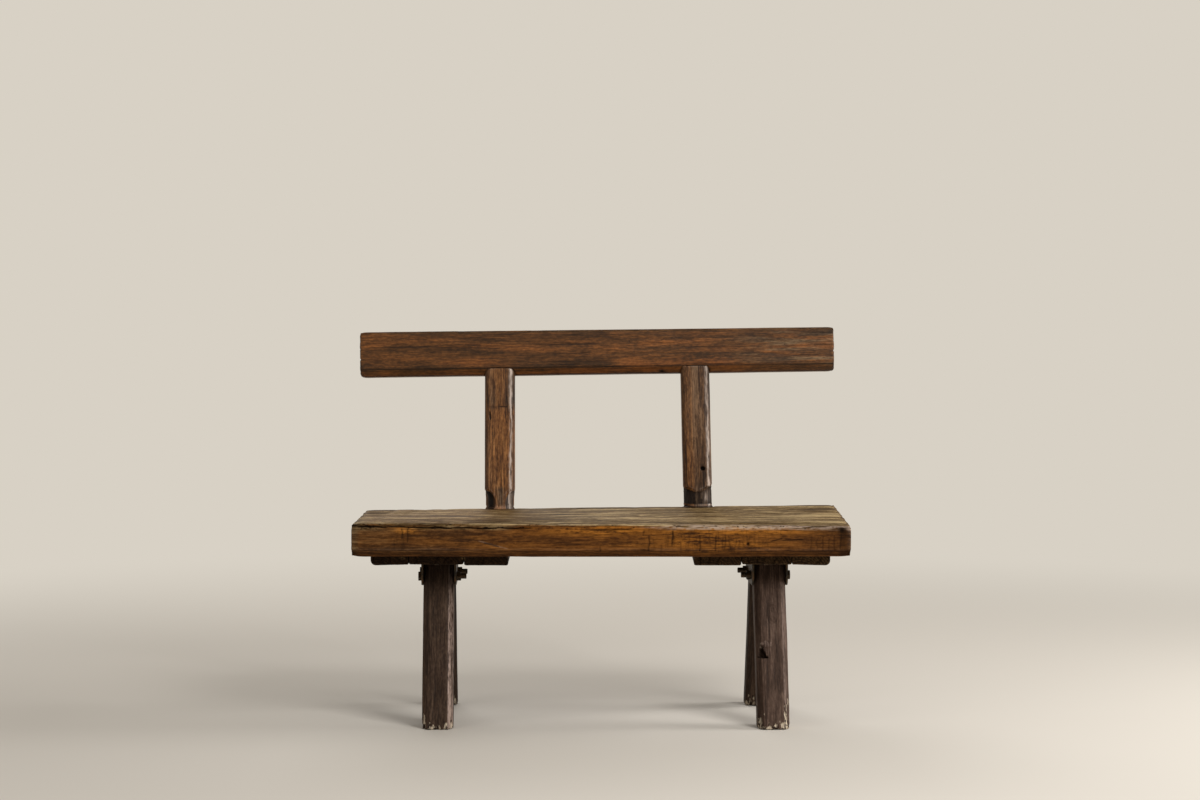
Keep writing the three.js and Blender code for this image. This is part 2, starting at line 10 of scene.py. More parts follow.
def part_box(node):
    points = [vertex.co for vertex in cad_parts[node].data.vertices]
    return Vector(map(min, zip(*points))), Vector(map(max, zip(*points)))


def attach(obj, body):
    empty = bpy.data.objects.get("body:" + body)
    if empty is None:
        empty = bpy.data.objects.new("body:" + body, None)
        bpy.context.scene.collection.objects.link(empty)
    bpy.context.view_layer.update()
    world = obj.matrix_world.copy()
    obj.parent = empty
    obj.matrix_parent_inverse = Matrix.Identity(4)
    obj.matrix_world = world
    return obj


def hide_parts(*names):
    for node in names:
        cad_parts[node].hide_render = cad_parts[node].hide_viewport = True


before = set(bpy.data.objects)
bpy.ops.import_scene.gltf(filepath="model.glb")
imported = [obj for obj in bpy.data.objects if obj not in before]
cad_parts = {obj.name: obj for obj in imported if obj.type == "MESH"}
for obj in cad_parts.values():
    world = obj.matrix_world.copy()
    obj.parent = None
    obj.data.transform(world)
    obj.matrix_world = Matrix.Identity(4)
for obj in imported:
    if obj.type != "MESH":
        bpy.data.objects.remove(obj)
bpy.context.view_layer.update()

# The turns of the frame's pieces, in degrees
LEG_SPLAY = 21.5
TRESTLE_YAW = {"left": 0.8, "right": 2.3}
POST_RECLINE = 5.5
POST_LEAN = {"left": 0.0, "right": -1.3}
RAIL_TILT = 0.73

# Voxel sizes, and how far a piece is squeezed along its grain while it is meshed
PLANK_CELL = 0.0021
BAR_CELL = 0.0016
BOARD_CELL = 0.0024
WEDGE_CELL = 0.001
GRAIN_SQUEEZE = 0.6

# Edges that turn by more than this many degrees wear round, and how closely they are sampled
SHARP_ANGLE = 25
EDGE_SAMPLE = 0.002

# Growth rings in a metre of wood, and how far apart two seeds lie along the grain
RINGS_PER_METRE = 230.0
SEED_STEP = 0.37

# Where each piece's noise starts. Pieces of one kind count up from it
PLANK_SEED = 11
RAIL_SEED = 23
POST_SEEDS = {"left": 31, "right": 32}
LEG_SEED = 41
BOARD_SEED = 51
WEDGE_SEED = 61

# Where the rings' middle lies across each piece, from the piece's own middle
PLANK_PITH = (0.05, -0.11)
RAIL_PITH = (0.06, -0.02)
POST_PITH = (0.05, 0.02)
LEG_PITH = (0.04, 0.03)
BOARD_PITH = (0.03, -0.06)
WEDGE_PITH = (0.02, 0.01)

# The camera of the photograph, found from its perspective
CAMERA_PLACE = (0.0039, -7.6356, 1.1674)
CAMERA_PITCH = 86.555
CAMERA_LENS = 102.15
SENSOR_WIDTH = 36.0

# The axes, as columns of a table of places
X, Y, Z = range(3)

# The plank's front face, and the place behind it up to which its mesh is finer
SEAT_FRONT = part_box("seat_plank")[0].y
FRONT_ZONE = SEAT_FRONT + 0.021

# What is painted on each piece point by point, for its material to read. The dirt mask also carries
# painted shade, the wear mask painted highlights, and the warm tint mask the front legs' painted
# highlights
MASKS = ("wear_and_highlight", "grime_and_shade", "grey", "tint_and_highlight", "marks", "ends")

# The checks in a sawn end, as shares of the turn round the pith, and how they and the rings are cut
CHECK_TURNS = (0.06, 0.17, 0.24, 0.38, 0.47, 0.61, 0.69, 0.83, 0.93)
CHECK_WIDTH = 0.0014
CHECK_DEPTH = 0.0025
RING_DEPTH = 0.0002

# How a split wanders unless it says otherwise: by this distance, this many times in a metre
SPLIT_WANDER = (0.003, 9)


def srgb(red, green, blue):
    """A colour given in 0 to 255 as it looks on screen, as linear RGBA."""
    values = [channel / 255 for channel in (red, green, blue)]
    linear = [v / 12.92 if v <= 0.04045 else ((v + 0.055) / 1.055) ** 2.4 for v in values]
    return (*linear, 1.0)


def add_object(name, data):
    made = bpy.data.objects.new(name, data)
    bpy.context.scene.collection.objects.link(made)
    return made


# Noise for shaping meshes
def lattice(ix, iy, iz, seed):
    """A repeatable value from -1 to 1 for each whole-number corner."""
    mixed = ix * 374761393 + iy * 668265263 + iz * 1442695041 + seed * 1274126177
    mixed = mixed & 0xFFFFFFFF
    mixed = ((mixed ^ (mixed >> 13)) * 1103515245) & 0xFFFFFFFF
    mixed = mixed ^ (mixed >> 16)
    return (mixed & 0xFFFFFF) / 8388607.5 - 1.0


def value_noise(points, seed):
    """Smooth noise of -1 to 1 with one lump in each whole step."""
    base = np.floor(points).astype(np.int64)
    part = points - base
    ease = part * part * (3 - 2 * part)
    total = np.zeros(len(points))
    for corner in range(8):
        step = np.array([corner & 1, (corner >> 1) & 1, (corner >> 2) & 1])
        at = base + step
        share = np.prod(np.where(step, ease, 1 - ease), axis=1)
        total += share * lattice(at[:, 0], at[:, 1], at[:, 2], seed)
    return total


def line_noise(values, per_metre, seed, octaves=3):
    """Smooth noise of about -1 to 1 along one axis."""
    total = np.zeros(len(values))
    for octave in range(octaves):
        scaled = values * per_metre * 2**octave
        base = np.floor(scaled).astype(np.int64)
        ease = rise(0, 1, scaled - base)
        before = lattice(base, 0, octave, seed)
        after = lattice(base + 1, 0, octave, seed)
        total += (before + (after - before) * ease) / 2**octave
    return total


def noise(points, per_metre, seed, octaves):
    """Smooth noise of about -1 to 1; per_metre is how many lumps each axis has in a metre."""
    total = np.zeros(len(points))
    scaled = points * np.array(per_metre)
    weight = 1.0
    for octave in range(octaves):
        total += weight * value_noise(scaled * 2**octave, seed + 17 * octave)
        weight *= 0.5
    return total


def rise(low, high, values):
    """0 up to low, 1 from high on, and a smooth rise between them."""
    share = np.clip((values - low) / (high - low), 0, 1)
    return share * share * (3 - 2 * share)


def spot(values, middle, width):
    """1 at the middle, falling to 0 at about two widths off."""
    return np.exp(-(((values - middle) / width) ** 2))


# Grain directions: the first column of each is the way that the grain runs
def turn(degrees, axis):
    return Matrix.Rotation(math.radians(degrees), 3, axis)


UPRIGHT = Matrix(((0, 1, 0), (0, 0, 1), (1, 0, 0)))
ACROSS = Matrix(((0, -1, 0), (1, 0, 0), (0, 0, 1)))


def leg_grain(side, way):
    return turn(TRESTLE_YAW[side], "Z") @ turn(way * LEG_SPLAY, "X") @ UPRIGHT


def post_grain(side):
    return turn(-POST_RECLINE, "X") @ turn(POST_LEAN[side], "Y") @ UPRIGHT


RAIL_GRAIN = turn(-POST_RECLINE, "X") @ turn(-RAIL_TILT, "Y")
PLANK_GRAIN = Matrix.Identity(3)


class Surface:
    """The finely meshed surface of one piece, in its own frame with the grain along the first axis.

    The growth rings run round a pith, which lies off the piece's middle across the grain."""

    def __init__(self, node, grain, cell, seed, pith, fine_zone=None):
        self.node = node
        self.seed = seed
        self.pith = pith
        low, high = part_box(node)
        self.own = Matrix.Translation((low + high) / 2) @ grain.to_4x4()
        self.mesh = self.fine_mesh(cell)
        if fine_zone:
            self.refine(fine_zone)
        count = len(self.mesh.vertices)
        flat = np.zeros(count * 3, np.float32)
        self.mesh.vertices.foreach_get("co", flat)
        self.points = flat.reshape(-1, 3).astype(float)
        self.mesh.vertex_normals.foreach_get("vector", flat)
        self.normals = flat.reshape(-1, 3).astype(float)
        matrix = np.array(self.own)
        self.place = self.points @ matrix[:3, :3].T + matrix[:3, 3]
        self.depth = np.zeros(count)
        self.masks = {name: np.zeros(count) for name in MASKS}
        self.edge = self.edge_distance()

    def bare_mesh(self):
        """The CAD node's mesh with its doubled corners joined, in the piece's own frame."""
        shape = bmesh.new()
        shape.from_mesh(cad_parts[self.node].data)
        bmesh.ops.remove_doubles(shape, verts=shape.verts, dist=1e-6)
        bmesh.ops.transform(shape, matrix=self.own.inverted(), verts=shape.verts)
        return shape

    def fine_mesh(self, cell):
        shape = self.bare_mesh()
        squeeze = Matrix.Diagonal((GRAIN_SQUEEZE, 1, 1, 1))
        bmesh.ops.transform(shape, matrix=squeeze, verts=shape.verts)
        mesh = bpy.data.meshes.new(self.node + "_fine")
        shape.to_mesh(mesh)
        shape.free()
        exact = add_object(self.node + "_exact", mesh)
        carrier = add_object(self.node + "_carrier", mesh)
        remesh = carrier.modifiers.new("remesh", "REMESH")
        remesh.mode = "VOXEL"
        remesh.voxel_size = cell
        wrap = carrier.modifiers.new("wrap", "SHRINKWRAP")
        wrap.target = exact
        wrap.wrap_method = "NEAREST_SURFACEPOINT"
        graph = bpy.context.evaluated_depsgraph_get()
        fine = bpy.data.meshes.new_from_object(carrier.evaluated_get(graph))
        bpy.data.objects.remove(carrier)
        bpy.data.objects.remove(exact)
        bpy.data.meshes.remove(mesh)
        fine.transform(squeeze.inverted())
        fine.update()
        return fine

    def refine(self, zone):
        """Halves the mesh's cells where zone(point in the bench's frame) is true."""
        shape = bmesh.new()
        shape.from_mesh(self.mesh)
        inside = {corner for corner in shape.verts if zone(self.own @ corner.co)}
        edges = [edge for edge in shape.edges if inside.issuperset(edge.verts)]
        bmesh.ops.subdivide_edges(shape, edges=edges, cuts=1, use_grid_fill=True)
        shape.to_mesh(self.mesh)
        shape.free()
        self.mesh.update()

    def edge_distance(self):
        """How far each point is from the nearest sharp edge of the CAD node."""
        shape = self.bare_mesh()
        samples = []
        for edge in shape.edges:
            if len(edge.link_faces) == 2 and edge.calc_face_angle() > math.radians(SHARP_ANGLE):
                start, end = (corner.co for corner in edge.verts)
                steps = max(1, int((end - start).length / EDGE_SAMPLE))
                samples.extend(start.lerp(end, step / steps) for step in range(steps + 1))
        shape.free()
        tree = KDTree(len(samples))
        for index, sample in enumerate(samples):
            tree.insert(sample, index)
        tree.balance()
        return np.array([tree.find(point)[2] for point in self.points])

    def noise(self, per_metre, offset, octaves=2):
        """Noise in the piece's own frame. The offset tells its different noises apart."""
        return noise(self.points, per_metre, self.seed + offset, octaves)

    def facing(self, direction, low=0.6, high=0.9):
        """1 where the surface faces a direction of the bench, 0 where it faces elsewhere."""
        own = self.own.to_3x3().inverted() @ Vector(direction)
        return rise(low, high, self.normals @ np.array(own))

    def finish(self, name, material, slot):
        moved = self.points - self.normals * self.depth[:, None]
        self.mesh.vertices.foreach_set("co", moved.astype(np.float32).ravel())
        grain = self.points - np.array((-self.seed * SEED_STEP, *self.pith))
        attribute = self.mesh.attributes.new("grain", "FLOAT_VECTOR", "POINT")
        attribute.data.foreach_set("vector", grain.astype(np.float32).ravel())
        for mask, values in self.masks.items():
            attribute = self.mesh.attributes.new(mask, "FLOAT", "POINT")
            attribute.data.foreach_set("value", np.clip(values, 0, 1).astype(np.float32))
        self.mesh.transform(self.own)
        self.mesh.polygons.foreach_set("use_smooth", np.ones(len(self.mesh.polygons), bool))
        self.mesh.update()
        self.mesh.name = name
        self.mesh.materials.clear()
        self.mesh.materials.append(material)
        piece = add_object(name, self.mesh)
        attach(piece, "root")
        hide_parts(self.node)


# Ways of working the wood
def hew(surface, waviness, furrows):
    """Long hand-planed waves and fine furrows along the grain, on all but the ends."""
    sides = 1 - rise(0.5, 0.9, np.abs(surface.normals[:, 0]))
    waves = surface.noise((5, 26, 26), 1)
    ridges = np.abs(surface.noise((10, 210, 210), 2))
    surface.depth += sides * (waviness * 0.5 * waves + furrows * ridges)
    surface.masks["grime_and_shade"] += sides * 0.3 * rise(0.8, 1.2, ridges)


def round_edges(surface, radius, depth, chips, wear_and_highlight):
    """Edges worn round, with chips broken out along them."""
    near = spot(surface.edge, 0, radius)
    worn = 0.7 + 0.5 * surface.noise((14, 40, 40), 3)
    broken = rise(0.55, 1.1, surface.noise((30, 90, 90), 4, 3))
    surface.depth += near * (depth * worn + chips * broken)
    surface.masks["wear_and_highlight"] += near * np.clip(worn, 0, 1) * wear_and_highlight


def end_grain(surface, depth=0.0005):
    """Growth rings and saw marks in the ends of a piece, and checks that open out from the pith."""
    ends = rise(0.6, 0.9, np.abs(surface.normals[:, 0]))
    rough = surface.noise((60, 120, 160), 5, 3)
    surface.depth += ends * depth * (rough * 0.5 + 0.5)
    outward = surface.points[:, 1:] - np.array(surface.pith)
    reach = np.hypot(*outward.T)
    angle = np.arctan2(*outward.T)
    low, high = angle.min(), angle.max()
    checks = np.zeros(len(reach))
    side = np.sign(surface.points[:, 0]) * 0.02
    for index, share in enumerate(CHECK_TURNS):
        off = (angle - low - (high - low) * (share + side)) * reach
        off += 0.002 * line_noise(reach, 60, surface.seed + index)
        length = rise(-0.1, 0.5, line_noise(reach, 16, surface.seed + 7 * index))
        checks = np.maximum(checks, spot(off, 0, CHECK_WIDTH) * length)
    rings = line_noise(reach, RINGS_PER_METRE, surface.seed)
    surface.depth += ends * (CHECK_DEPTH * checks + RING_DEPTH * rings)
    surface.masks["ends"] += ends
    surface.masks["grey"] += ends * 0.2
    surface.masks["grime_and_shade"] += ends * (0.35 + 0.65 * checks)


def crack(
    surface, run, across, start, end, width, depth, where,
    wander=SPLIT_WANDER, dark=1.0, mask="grime_and_shade",
):
    """A split from start to end, each given as its place along the run axis and across it.

    It is cut only as far as where is 1, and is painted into the named mask."""
    reach = 3 * (width + wander[0])
    along = surface.place[:, run]
    beside = surface.place[:, across]
    low, high = sorted((start[1], end[1]))
    near = (along > start[0]) & (along < end[0])
    near &= (beside > low - reach) & (beside < high + reach)
    share = (along[near] - start[0]) / (end[0] - start[0])
    taper = np.sqrt(4 * share * (1 - share))
    # Its noise follows from where it starts
    seed = surface.seed + int(abs(1000 * start[0]) + abs(777 * start[1]))
    straight = start[1] + (end[1] - start[1]) * share
    line = straight + wander[0] * line_noise(along[near], wander[1], seed)
    gap = spot(beside[near], line, width * (0.4 + 0.6 * taper)) * where[near]
    surface.depth[near] += gap * depth * taper
    surface.masks[mask][near] += gap * dark * np.minimum(1, 2 * taper)


# Materials
RING_BEND = 0.035
# The colour of dirt and of dark lines in the wood, which is also laid on as painted shade
DIRT_AND_SHADE = srgb(24, 13, 5)
# How many lumps each noise of the wood has in a metre, along the grain and the two ways across it
BEND_SCALE = (1.6, 7, 7)
PATCH_SCALE = (6, 40, 40)
STREAK_SCALE = (11, 125, 125)
THREAD_SCALE = (26, 310, 310)
MOTTLE_SCALE = (95, 260, 260)
BLEACH_SCALE = (4, 32, 32)
CHECK_SCALE = (5, 230, 230)
CROSS_SCALE = (120, 20, 20)
SPECK_SCALE = (110, 200, 200)
LONG_HAIR_SCALE = (3.5, 80, 80)
FINE_HAIR_SCALE = (9, 130, 130)
# What the threads and the mottle multiply the colour by, from their dark to their light
THREAD_TONES = [(0.36, (0.76, 0.73, 0.7, 1)), (0.64, (1.18, 1.18, 1.18, 1))]
MOTTLE_TONES = [(0.38, (0.84, 0.82, 0.8, 1)), (0.62, (1.14, 1.14, 1.14, 1))]
TONE_STRENGTH = 0.8
# Where the weathered colours lie on their ramp
WEATHER_STOPS = (0.42, 0.5, 0.57)


class Graph:
    """A material or a world, and the nodes that are added to it."""

    def __init__(self, owner):
        owner.use_nodes = True
        self.owner = owner
        self.tree = owner.node_tree
        self.tree.nodes.clear()

    def add(self, kind, inputs=None, **settings):
        made = self.tree.nodes.new(kind)
        for key, value in settings.items():
            setattr(made, key, value)
        for key, value in (inputs or {}).items():
            if isinstance(value, bpy.types.NodeSocket):
                self.tree.links.new(value, made.inputs[key])
            else:
                made.inputs[key].default_value = value
        return made

    def mask(self, name):
        return self.add("ShaderNodeAttribute", attribute_name=name).outputs["Fac"]

    def grain(self, scale):
        vector = self.add("ShaderNodeAttribute", attribute_name="grain").outputs["Vector"]
        return self.add("ShaderNodeVectorMath", {0: vector, 1: scale}, operation="MULTIPLY").outputs[0]

    def noise(self, vector, scale=1.0, detail=3.0, roughness=0.55, distortion=0.0):
        inputs = {"Vector": vector, "Scale": scale, "Detail": detail}
        inputs.update({"Roughness": roughness, "Distortion": distortion})
        return self.add("ShaderNodeTexNoise", inputs).outputs["Fac"]

    def hairlines(self, scale):
        """1 along thin lines that run with the grain, where a noise passes its middle value."""
        waves = self.noise(self.grain(scale), detail=1, roughness=0.4, distortion=0.1)
        off = self.math("ABSOLUTE", self.math("SUBTRACT", waves, 0.5))
        return self.math("SUBTRACT", 1.0, self.steps(off, 0.004, 0.026))

    def math(self, operation, first, second=0.0, clamp=False):
        inputs = {0: first, 1: second}
        made = self.add("ShaderNodeMath", inputs, operation=operation, use_clamp=clamp)
        return made.outputs[0]

    def blend(self, *shares):
        """The sum of values, each times its share."""
        total = None
        for value, share in shares:
            part = self.math("MULTIPLY", value, share)
            total = part if total is None else self.math("ADD", total, part)
        return total

    def blend_to(self, share, first, second):
        """The first value where the share is 0, the second where it is 1."""
        change = self.math("SUBTRACT", second, first)
        return self.math("ADD", first, self.math("MULTIPLY", share, change))

    def ramp(self, fac, stops):
        made = self.add("ShaderNodeValToRGB", {"Fac": fac})
        elements = made.color_ramp.elements
        while len(elements) < len(stops):
            elements.new(1.0)
        for element, (position, colour) in zip(elements, stops):
            element.position = position
            element.color = colour
        return made.outputs["Color"]

    def steps(self, fac, low, high):
        """0 below low, 1 above high."""
        inputs = {"Value": fac, "From Min": low, "From Max": high, "To Min": 0.0, "To Max": 1.0}
        made = self.add("ShaderNodeMapRange", inputs, interpolation_type="SMOOTHSTEP")
        return made.outputs["Result"]

    def mix(self, fac, first, second, blend="MIX"):
        inputs = {0: fac, 6: first, 7: second}
        made = self.add("ShaderNodeMix", inputs, data_type="RGBA", blend_type=blend)
        return made.outputs[2]

    def finish(self, colour, roughness, height, bump, distance, **others):
        normal = self.add(
            "ShaderNodeBump", {"Height": height, "Strength": bump, "Distance": distance}
        ).outputs["Normal"]
        inputs = {"Base Color": colour, "Roughness": roughness, "Normal": normal}
        inputs.update({key.replace("_", " "): value for key, value in others.items()})
        shader = self.add("ShaderNodeBsdfPrincipled", inputs)
        self.add("ShaderNodeOutputMaterial", {"Surface": shader.outputs[0]})
        return self.owner


def dark_lines(graph, patches):
    """Fine checks, crosswise marks, specks and hairs, 1 where a line is darkest."""
    checks = graph.noise(graph.grain(CHECK_SCALE), detail=2, roughness=0.5, distortion=0.3)
    cross = graph.noise(graph.grain(CROSS_SCALE), detail=3, roughness=0.6, distortion=0.6)
    specks = graph.noise(graph.grain(SPECK_SCALE), detail=2, roughness=0.5)
    cross = graph.math("MULTIPLY", graph.steps(cross, 0.54, 0.66), graph.mask("marks"))
    lines = graph.math("MAXIMUM", graph.steps(checks, 0.64, 0.7), cross)
    specks = graph.math("MULTIPLY", graph.steps(specks, 0.68, 0.74), 0.6)
    lines = graph.math("MAXIMUM", lines, specks)
    hairs = graph.hairlines(LONG_HAIR_SCALE)
    hairs = graph.math("MULTIPLY", hairs, graph.steps(patches, 0.38, 0.56))
    fine = graph.math("MULTIPLY", graph.hairlines(FINE_HAIR_SCALE), 0.7)
    hairs = graph.math("MAXIMUM", hairs, fine)
    return graph.math("MAXIMUM", lines, graph.math("MULTIPLY", hairs, 0.55))


def wood(name, core, weathered, tint_and_highlight, worn, spread=0.08, soft=0.0, rough=0.5, coat=0.0, sheen=0.25):
    """Old oiled timber, coloured from dark to light by its rings, streaks and patches.

    A wide spread lowers the contrast, and a soft timber has more of the patches and less fine grain."""
    graph = Graph(bpy.data.materials.new(name))
    bend = graph.noise(graph.grain(BEND_SCALE), detail=2)
    across = graph.grain((0, 1, 1))
    radius = graph.add("ShaderNodeVectorMath", {0: across}, operation="LENGTH").outputs["Value"]
    radius = graph.math("ADD", radius, graph.math("MULTIPLY", bend, RING_BEND))
    inputs = {"W": radius, "Scale": RINGS_PER_METRE, "Detail": 3.0}
    rings = graph.add("ShaderNodeTexNoise", inputs, noise_dimensions="1D").outputs["Fac"]
    patches = graph.noise(graph.grain(PATCH_SCALE), detail=2, roughness=0.5, distortion=0.1)
    streaks = graph.noise(graph.grain(STREAK_SCALE), detail=2, roughness=0.6, distortion=0.1)
    threads = graph.noise(graph.grain(THREAD_SCALE), detail=2, roughness=0.6)
    mottle = graph.noise(graph.grain(MOTTLE_SCALE), detail=3, roughness=0.6)
    inner = graph.blend(
        (rings, 0.17),
        (patches, 0.21 + 0.15 * soft),
        (streaks, 0.22 - 0.07 * soft),
        (threads, 0.2 - 0.08 * soft),
        (mottle, 0.2),
    )
    sawn = graph.blend((rings, 0.5), (threads, 0.25), (mottle, 0.25))
    ends = graph.mask("ends")
    inner = graph.blend_to(ends, inner, sawn)
    colour = graph.ramp(inner, list(zip((0.5 - spread, 0.5, 0.5 + spread), core)))
    # A warm tint where the tint mask is set; on the front legs' chamfers this is a painted highlight
    # instead
    warm = graph.math("MULTIPLY", graph.mask("tint_and_highlight"), graph.steps(inner, 0.4, 0.52), clamp=True)
    colour = graph.mix(warm, colour, tint_and_highlight)
    bleached = graph.noise(graph.grain(BLEACH_SCALE), detail=3, roughness=0.55, distortion=0.3)
    outer = graph.blend((bleached, 0.45), (streaks, 0.25), (threads, 0.18), (mottle, 0.12))
    outer = graph.blend_to(ends, outer, sawn)
    weather = graph.ramp(outer, list(zip(WEATHER_STOPS, weathered)))
    colour = graph.mix(graph.mask("grey"), colour, weather)
    tone = graph.ramp(threads, THREAD_TONES)
    colour = graph.mix(TONE_STRENGTH, colour, tone, "MULTIPLY")
    tone = graph.ramp(mottle, MOTTLE_TONES)
    colour = graph.mix(TONE_STRENGTH, colour, tone, "MULTIPLY")
    lines = dark_lines(graph, patches)
    colour = graph.mix(graph.math("MULTIPLY", lines, 0.65), colour, DIRT_AND_SHADE)
    # The worn colour where the wear mask is set: real wear, and painted highlights on the posts' fronts
    # and the seat's front arris
    wear_and_highlight = graph.math("MULTIPLY", graph.mask("wear_and_highlight"), graph.steps(threads, 0.34, 0.54))
    colour = graph.mix(wear_and_highlight, colour, worn)
    # The dirt colour where the dirt mask is set: real dirt, and painted shade on shaded faces, in
    # hollows and on the back legs
    colour = graph.mix(graph.mask("grime_and_shade"), colour, DIRT_AND_SHADE)
    dull = graph.blend((threads, 0.25), (graph.mask("grey"), 0.1), (graph.mask("grime_and_shade"), 0.35))
    roughness = graph.math("ADD", dull, rough - 0.12)
    height = graph.blend((threads, 0.5), (streaks, 0.6), (mottle, 0.4), (rings, 0.25), (lines, -0.8))
    return graph.finish(
        colour, roughness, height, bump=0.7, distance=0.0008,
        Specular_IOR_Level=sheen, Coat_Weight=coat, Coat_Roughness=0.22,
    )


def iron(name):
    """Blackened iron with a little rust in its pits."""
    graph = Graph(bpy.data.materials.new(name))
    vector = graph.add("ShaderNodeTexCoord").outputs["Object"]
    pits = graph.noise(vector, 420, 5, 0.6)
    patches = graph.noise(vector, 60, 3, 0.6)
    colour = graph.ramp(patches, [(0.35, srgb(34, 27, 17)), (0.6, srgb(68, 54, 32))])
    rust = graph.steps(graph.math("MULTIPLY", pits, patches), 0.25, 0.38)
    colour = graph.mix(rust, colour, srgb(92, 62, 34))
    roughness = graph.math("ADD", graph.math("MULTIPLY", pits, 0.4), 0.35)
    return graph.finish(
        colour, roughness, pits, bump=0.5, distance=0.0004, Metallic=0.2, Specular_IOR_Level=0.3
    )


SEAT_WOOD = wood(
    "seat_wood",
    core=(srgb(65, 39, 19), srgb(87, 53, 24), srgb(110, 69, 31)),
    weathered=(srgb(74, 56, 31), srgb(120, 96, 60), srgb(184, 159, 115)),
    tint_and_highlight=srgb(168, 107, 38),
    # The worn colour is also the colour of the painted highlight along the front arris
    worn=srgb(172, 150, 132),
    spread=0.1,
    soft=0.5,
    coat=0.03,
    sheen=0.05,
)
RAIL_WOOD = wood(
    "rail_wood",
    core=(srgb(60, 38, 16), srgb(95, 60, 28), srgb(132, 81, 38)),
    weathered=(srgb(48, 36, 22), srgb(82, 62, 42), srgb(120, 97, 70)),
    tint_and_highlight=srgb(140, 80, 34),
    worn=srgb(104, 78, 48),
    spread=0.105,
    soft=1.0,
)
POST_WOOD = wood(
    "post_wood",
    core=(srgb(90, 57, 30), srgb(137, 89, 48), srgb(173, 118, 65)),
    weathered=(srgb(46, 33, 23), srgb(79, 60, 44), srgb(114, 92, 71)),
    tint_and_highlight=srgb(174, 116, 60),
    # The worn colour is also the colour of the painted highlight line down each post's front
    worn=srgb(206, 188, 174),
    spread=0.07,
    rough=0.45,
    coat=0.08,
    sheen=0.2,
)
LEG_WOOD = wood(
    "leg_wood",
    core=(srgb(47, 33, 22), srgb(60, 45, 33), srgb(75, 58, 44)),
    weathered=(srgb(65, 49, 40), srgb(79, 61, 51), srgb(97, 78, 67)),
    # This tint colour is the painted highlight on the front legs' right chamfers, and also the knot
    # scar's colour
    tint_and_highlight=srgb(180, 158, 146),
    worn=srgb(204, 188, 164),
    spread=0.06,
    rough=0.52,
    sheen=0.12,
)
CLEAT_WOOD = wood(
    "cleat_wood",
    # The core colours are the boards' own dark wood darkened further as painted shade under the seat
    core=(srgb(18, 8, 2), srgb(28, 14, 4), srgb(42, 23, 9)),
    weathered=(srgb(46, 32, 18), srgb(72, 53, 32), srgb(98, 76, 48)),
    tint_and_highlight=srgb(120, 96, 62),
    worn=srgb(112, 90, 60),
    rough=0.6,
    sheen=0.1,
)
IRON = iron("dark_iron")

# How far the plank's sides lie inside or outside the solid's
PLANK_LEFT_IN = 0.0014
PLANK_RIGHT_OUT = 0.004
PLANK_UNDER_OUT = 0.0022
PLANK_TOP_OUT = 0.0008
# How deep the plank's corners are worn at each end, above and below
LEFT_CORNER_WEAR = (0.0036, 0.0028)
RIGHT_CORNER_WEAR = (0.0014, 0.0016)
# Golden patches on the plank's front: place along it, width, height, tallness and strength
GOLDEN = (
    (-0.4174, 0.022, 0.4385, 0.0065, 1.5),
    (-0.36, 0.05, 0.4425, 0.003, 1.0),
    (0.02, 0.15, 0.437, 0.011, 0.6),
    (0.30, 0.20, 0.438, 0.010, 0.6),
    (0.25, 0.17, 0.414, 0.035, 0.5),
    (-0.20, 0.25, 0.414, 0.03, 0.15),
)
# Crosswise marks on the plank's front: place along it, lowest and highest point, lean and strength
CROSS_MARKS = (
    (-0.4451, 0.397, 0.418, 0.001, 0.4),
    (-0.4386, 0.404, 0.438, 0.001, 0.4),
    (-0.4278, 0.418, 0.444, 0.001, 0.8),
    (-0.4245, 0.403, 0.432, -0.001, 0.5),
    (-0.4169, 0.411, 0.446, 0.002, 1.0),
    (0.0039, 0.390, 0.404, 0.002, 0.8),
    (0.0961, 0.426, 0.438, 0.004, 0.9),
    (0.1095, 0.392, 0.428, 0.002, 1.1),
    (0.1232, 0.398, 0.420, -0.002, 0.5),
    (0.1362, 0.390, 0.408, 0.001, 0.6),
    (0.1605, 0.402, 0.439, 0.002, 1.1),
    (0.1630, 0.404, 0.437, 0.000, 0.8),
    (0.2208, 0.391, 0.428, 0.001, 1.1),
    (0.2546, 0.391, 0.427, 0.003, 1.1),
    (0.2707, 0.398, 0.425, 0.002, 0.8),
    (0.2763, 0.398, 0.425, 0.001, 0.8),
    (0.2887, 0.394, 0.425, -0.004, 0.9),
    (0.2989, 0.398, 0.424, 0.003, 0.6),
    (0.3076, 0.398, 0.418, 0.002, 0.6),
    (0.3162, 0.397, 0.422, 0.001, 0.5),
    (0.3401, 0.400, 0.422, 0.001, 0.4),
    (0.3510, 0.396, 0.431, -0.001, 0.4),
    (0.4637, 0.392, 0.424, 0.001, 0.5),
    (0.4768, 0.394, 0.420, 0.000, 0.5),
    (0.4898, 0.392, 0.426, 0.001, 0.6),
    (0.5028, 0.394, 0.424, 0.000, 0.5),
    (0.5158, 0.392, 0.428, -0.001, 0.6),
    (0.5288, 0.394, 0.430, 0.000, 0.5),
)
CROSS_MARK_CUT = {"width": 0.0018, "depth": 0.0005, "wander": (0.0012, 90)}
CROSS_MARK_TONE = 0.65
# The split along the foot of the plank's front: where each length starts and ends, and how dark it is
UNDERLINE = (
    ((-0.56, 0.3925), (-0.24, 0.3925), 0.45),
    ((-0.28, 0.3925), (0.56, 0.3925), 0.9),
)
UNDERLINE_CUT = {"width": 0.0014, "depth": 0.0012, "wander": (0.0006, 20)}
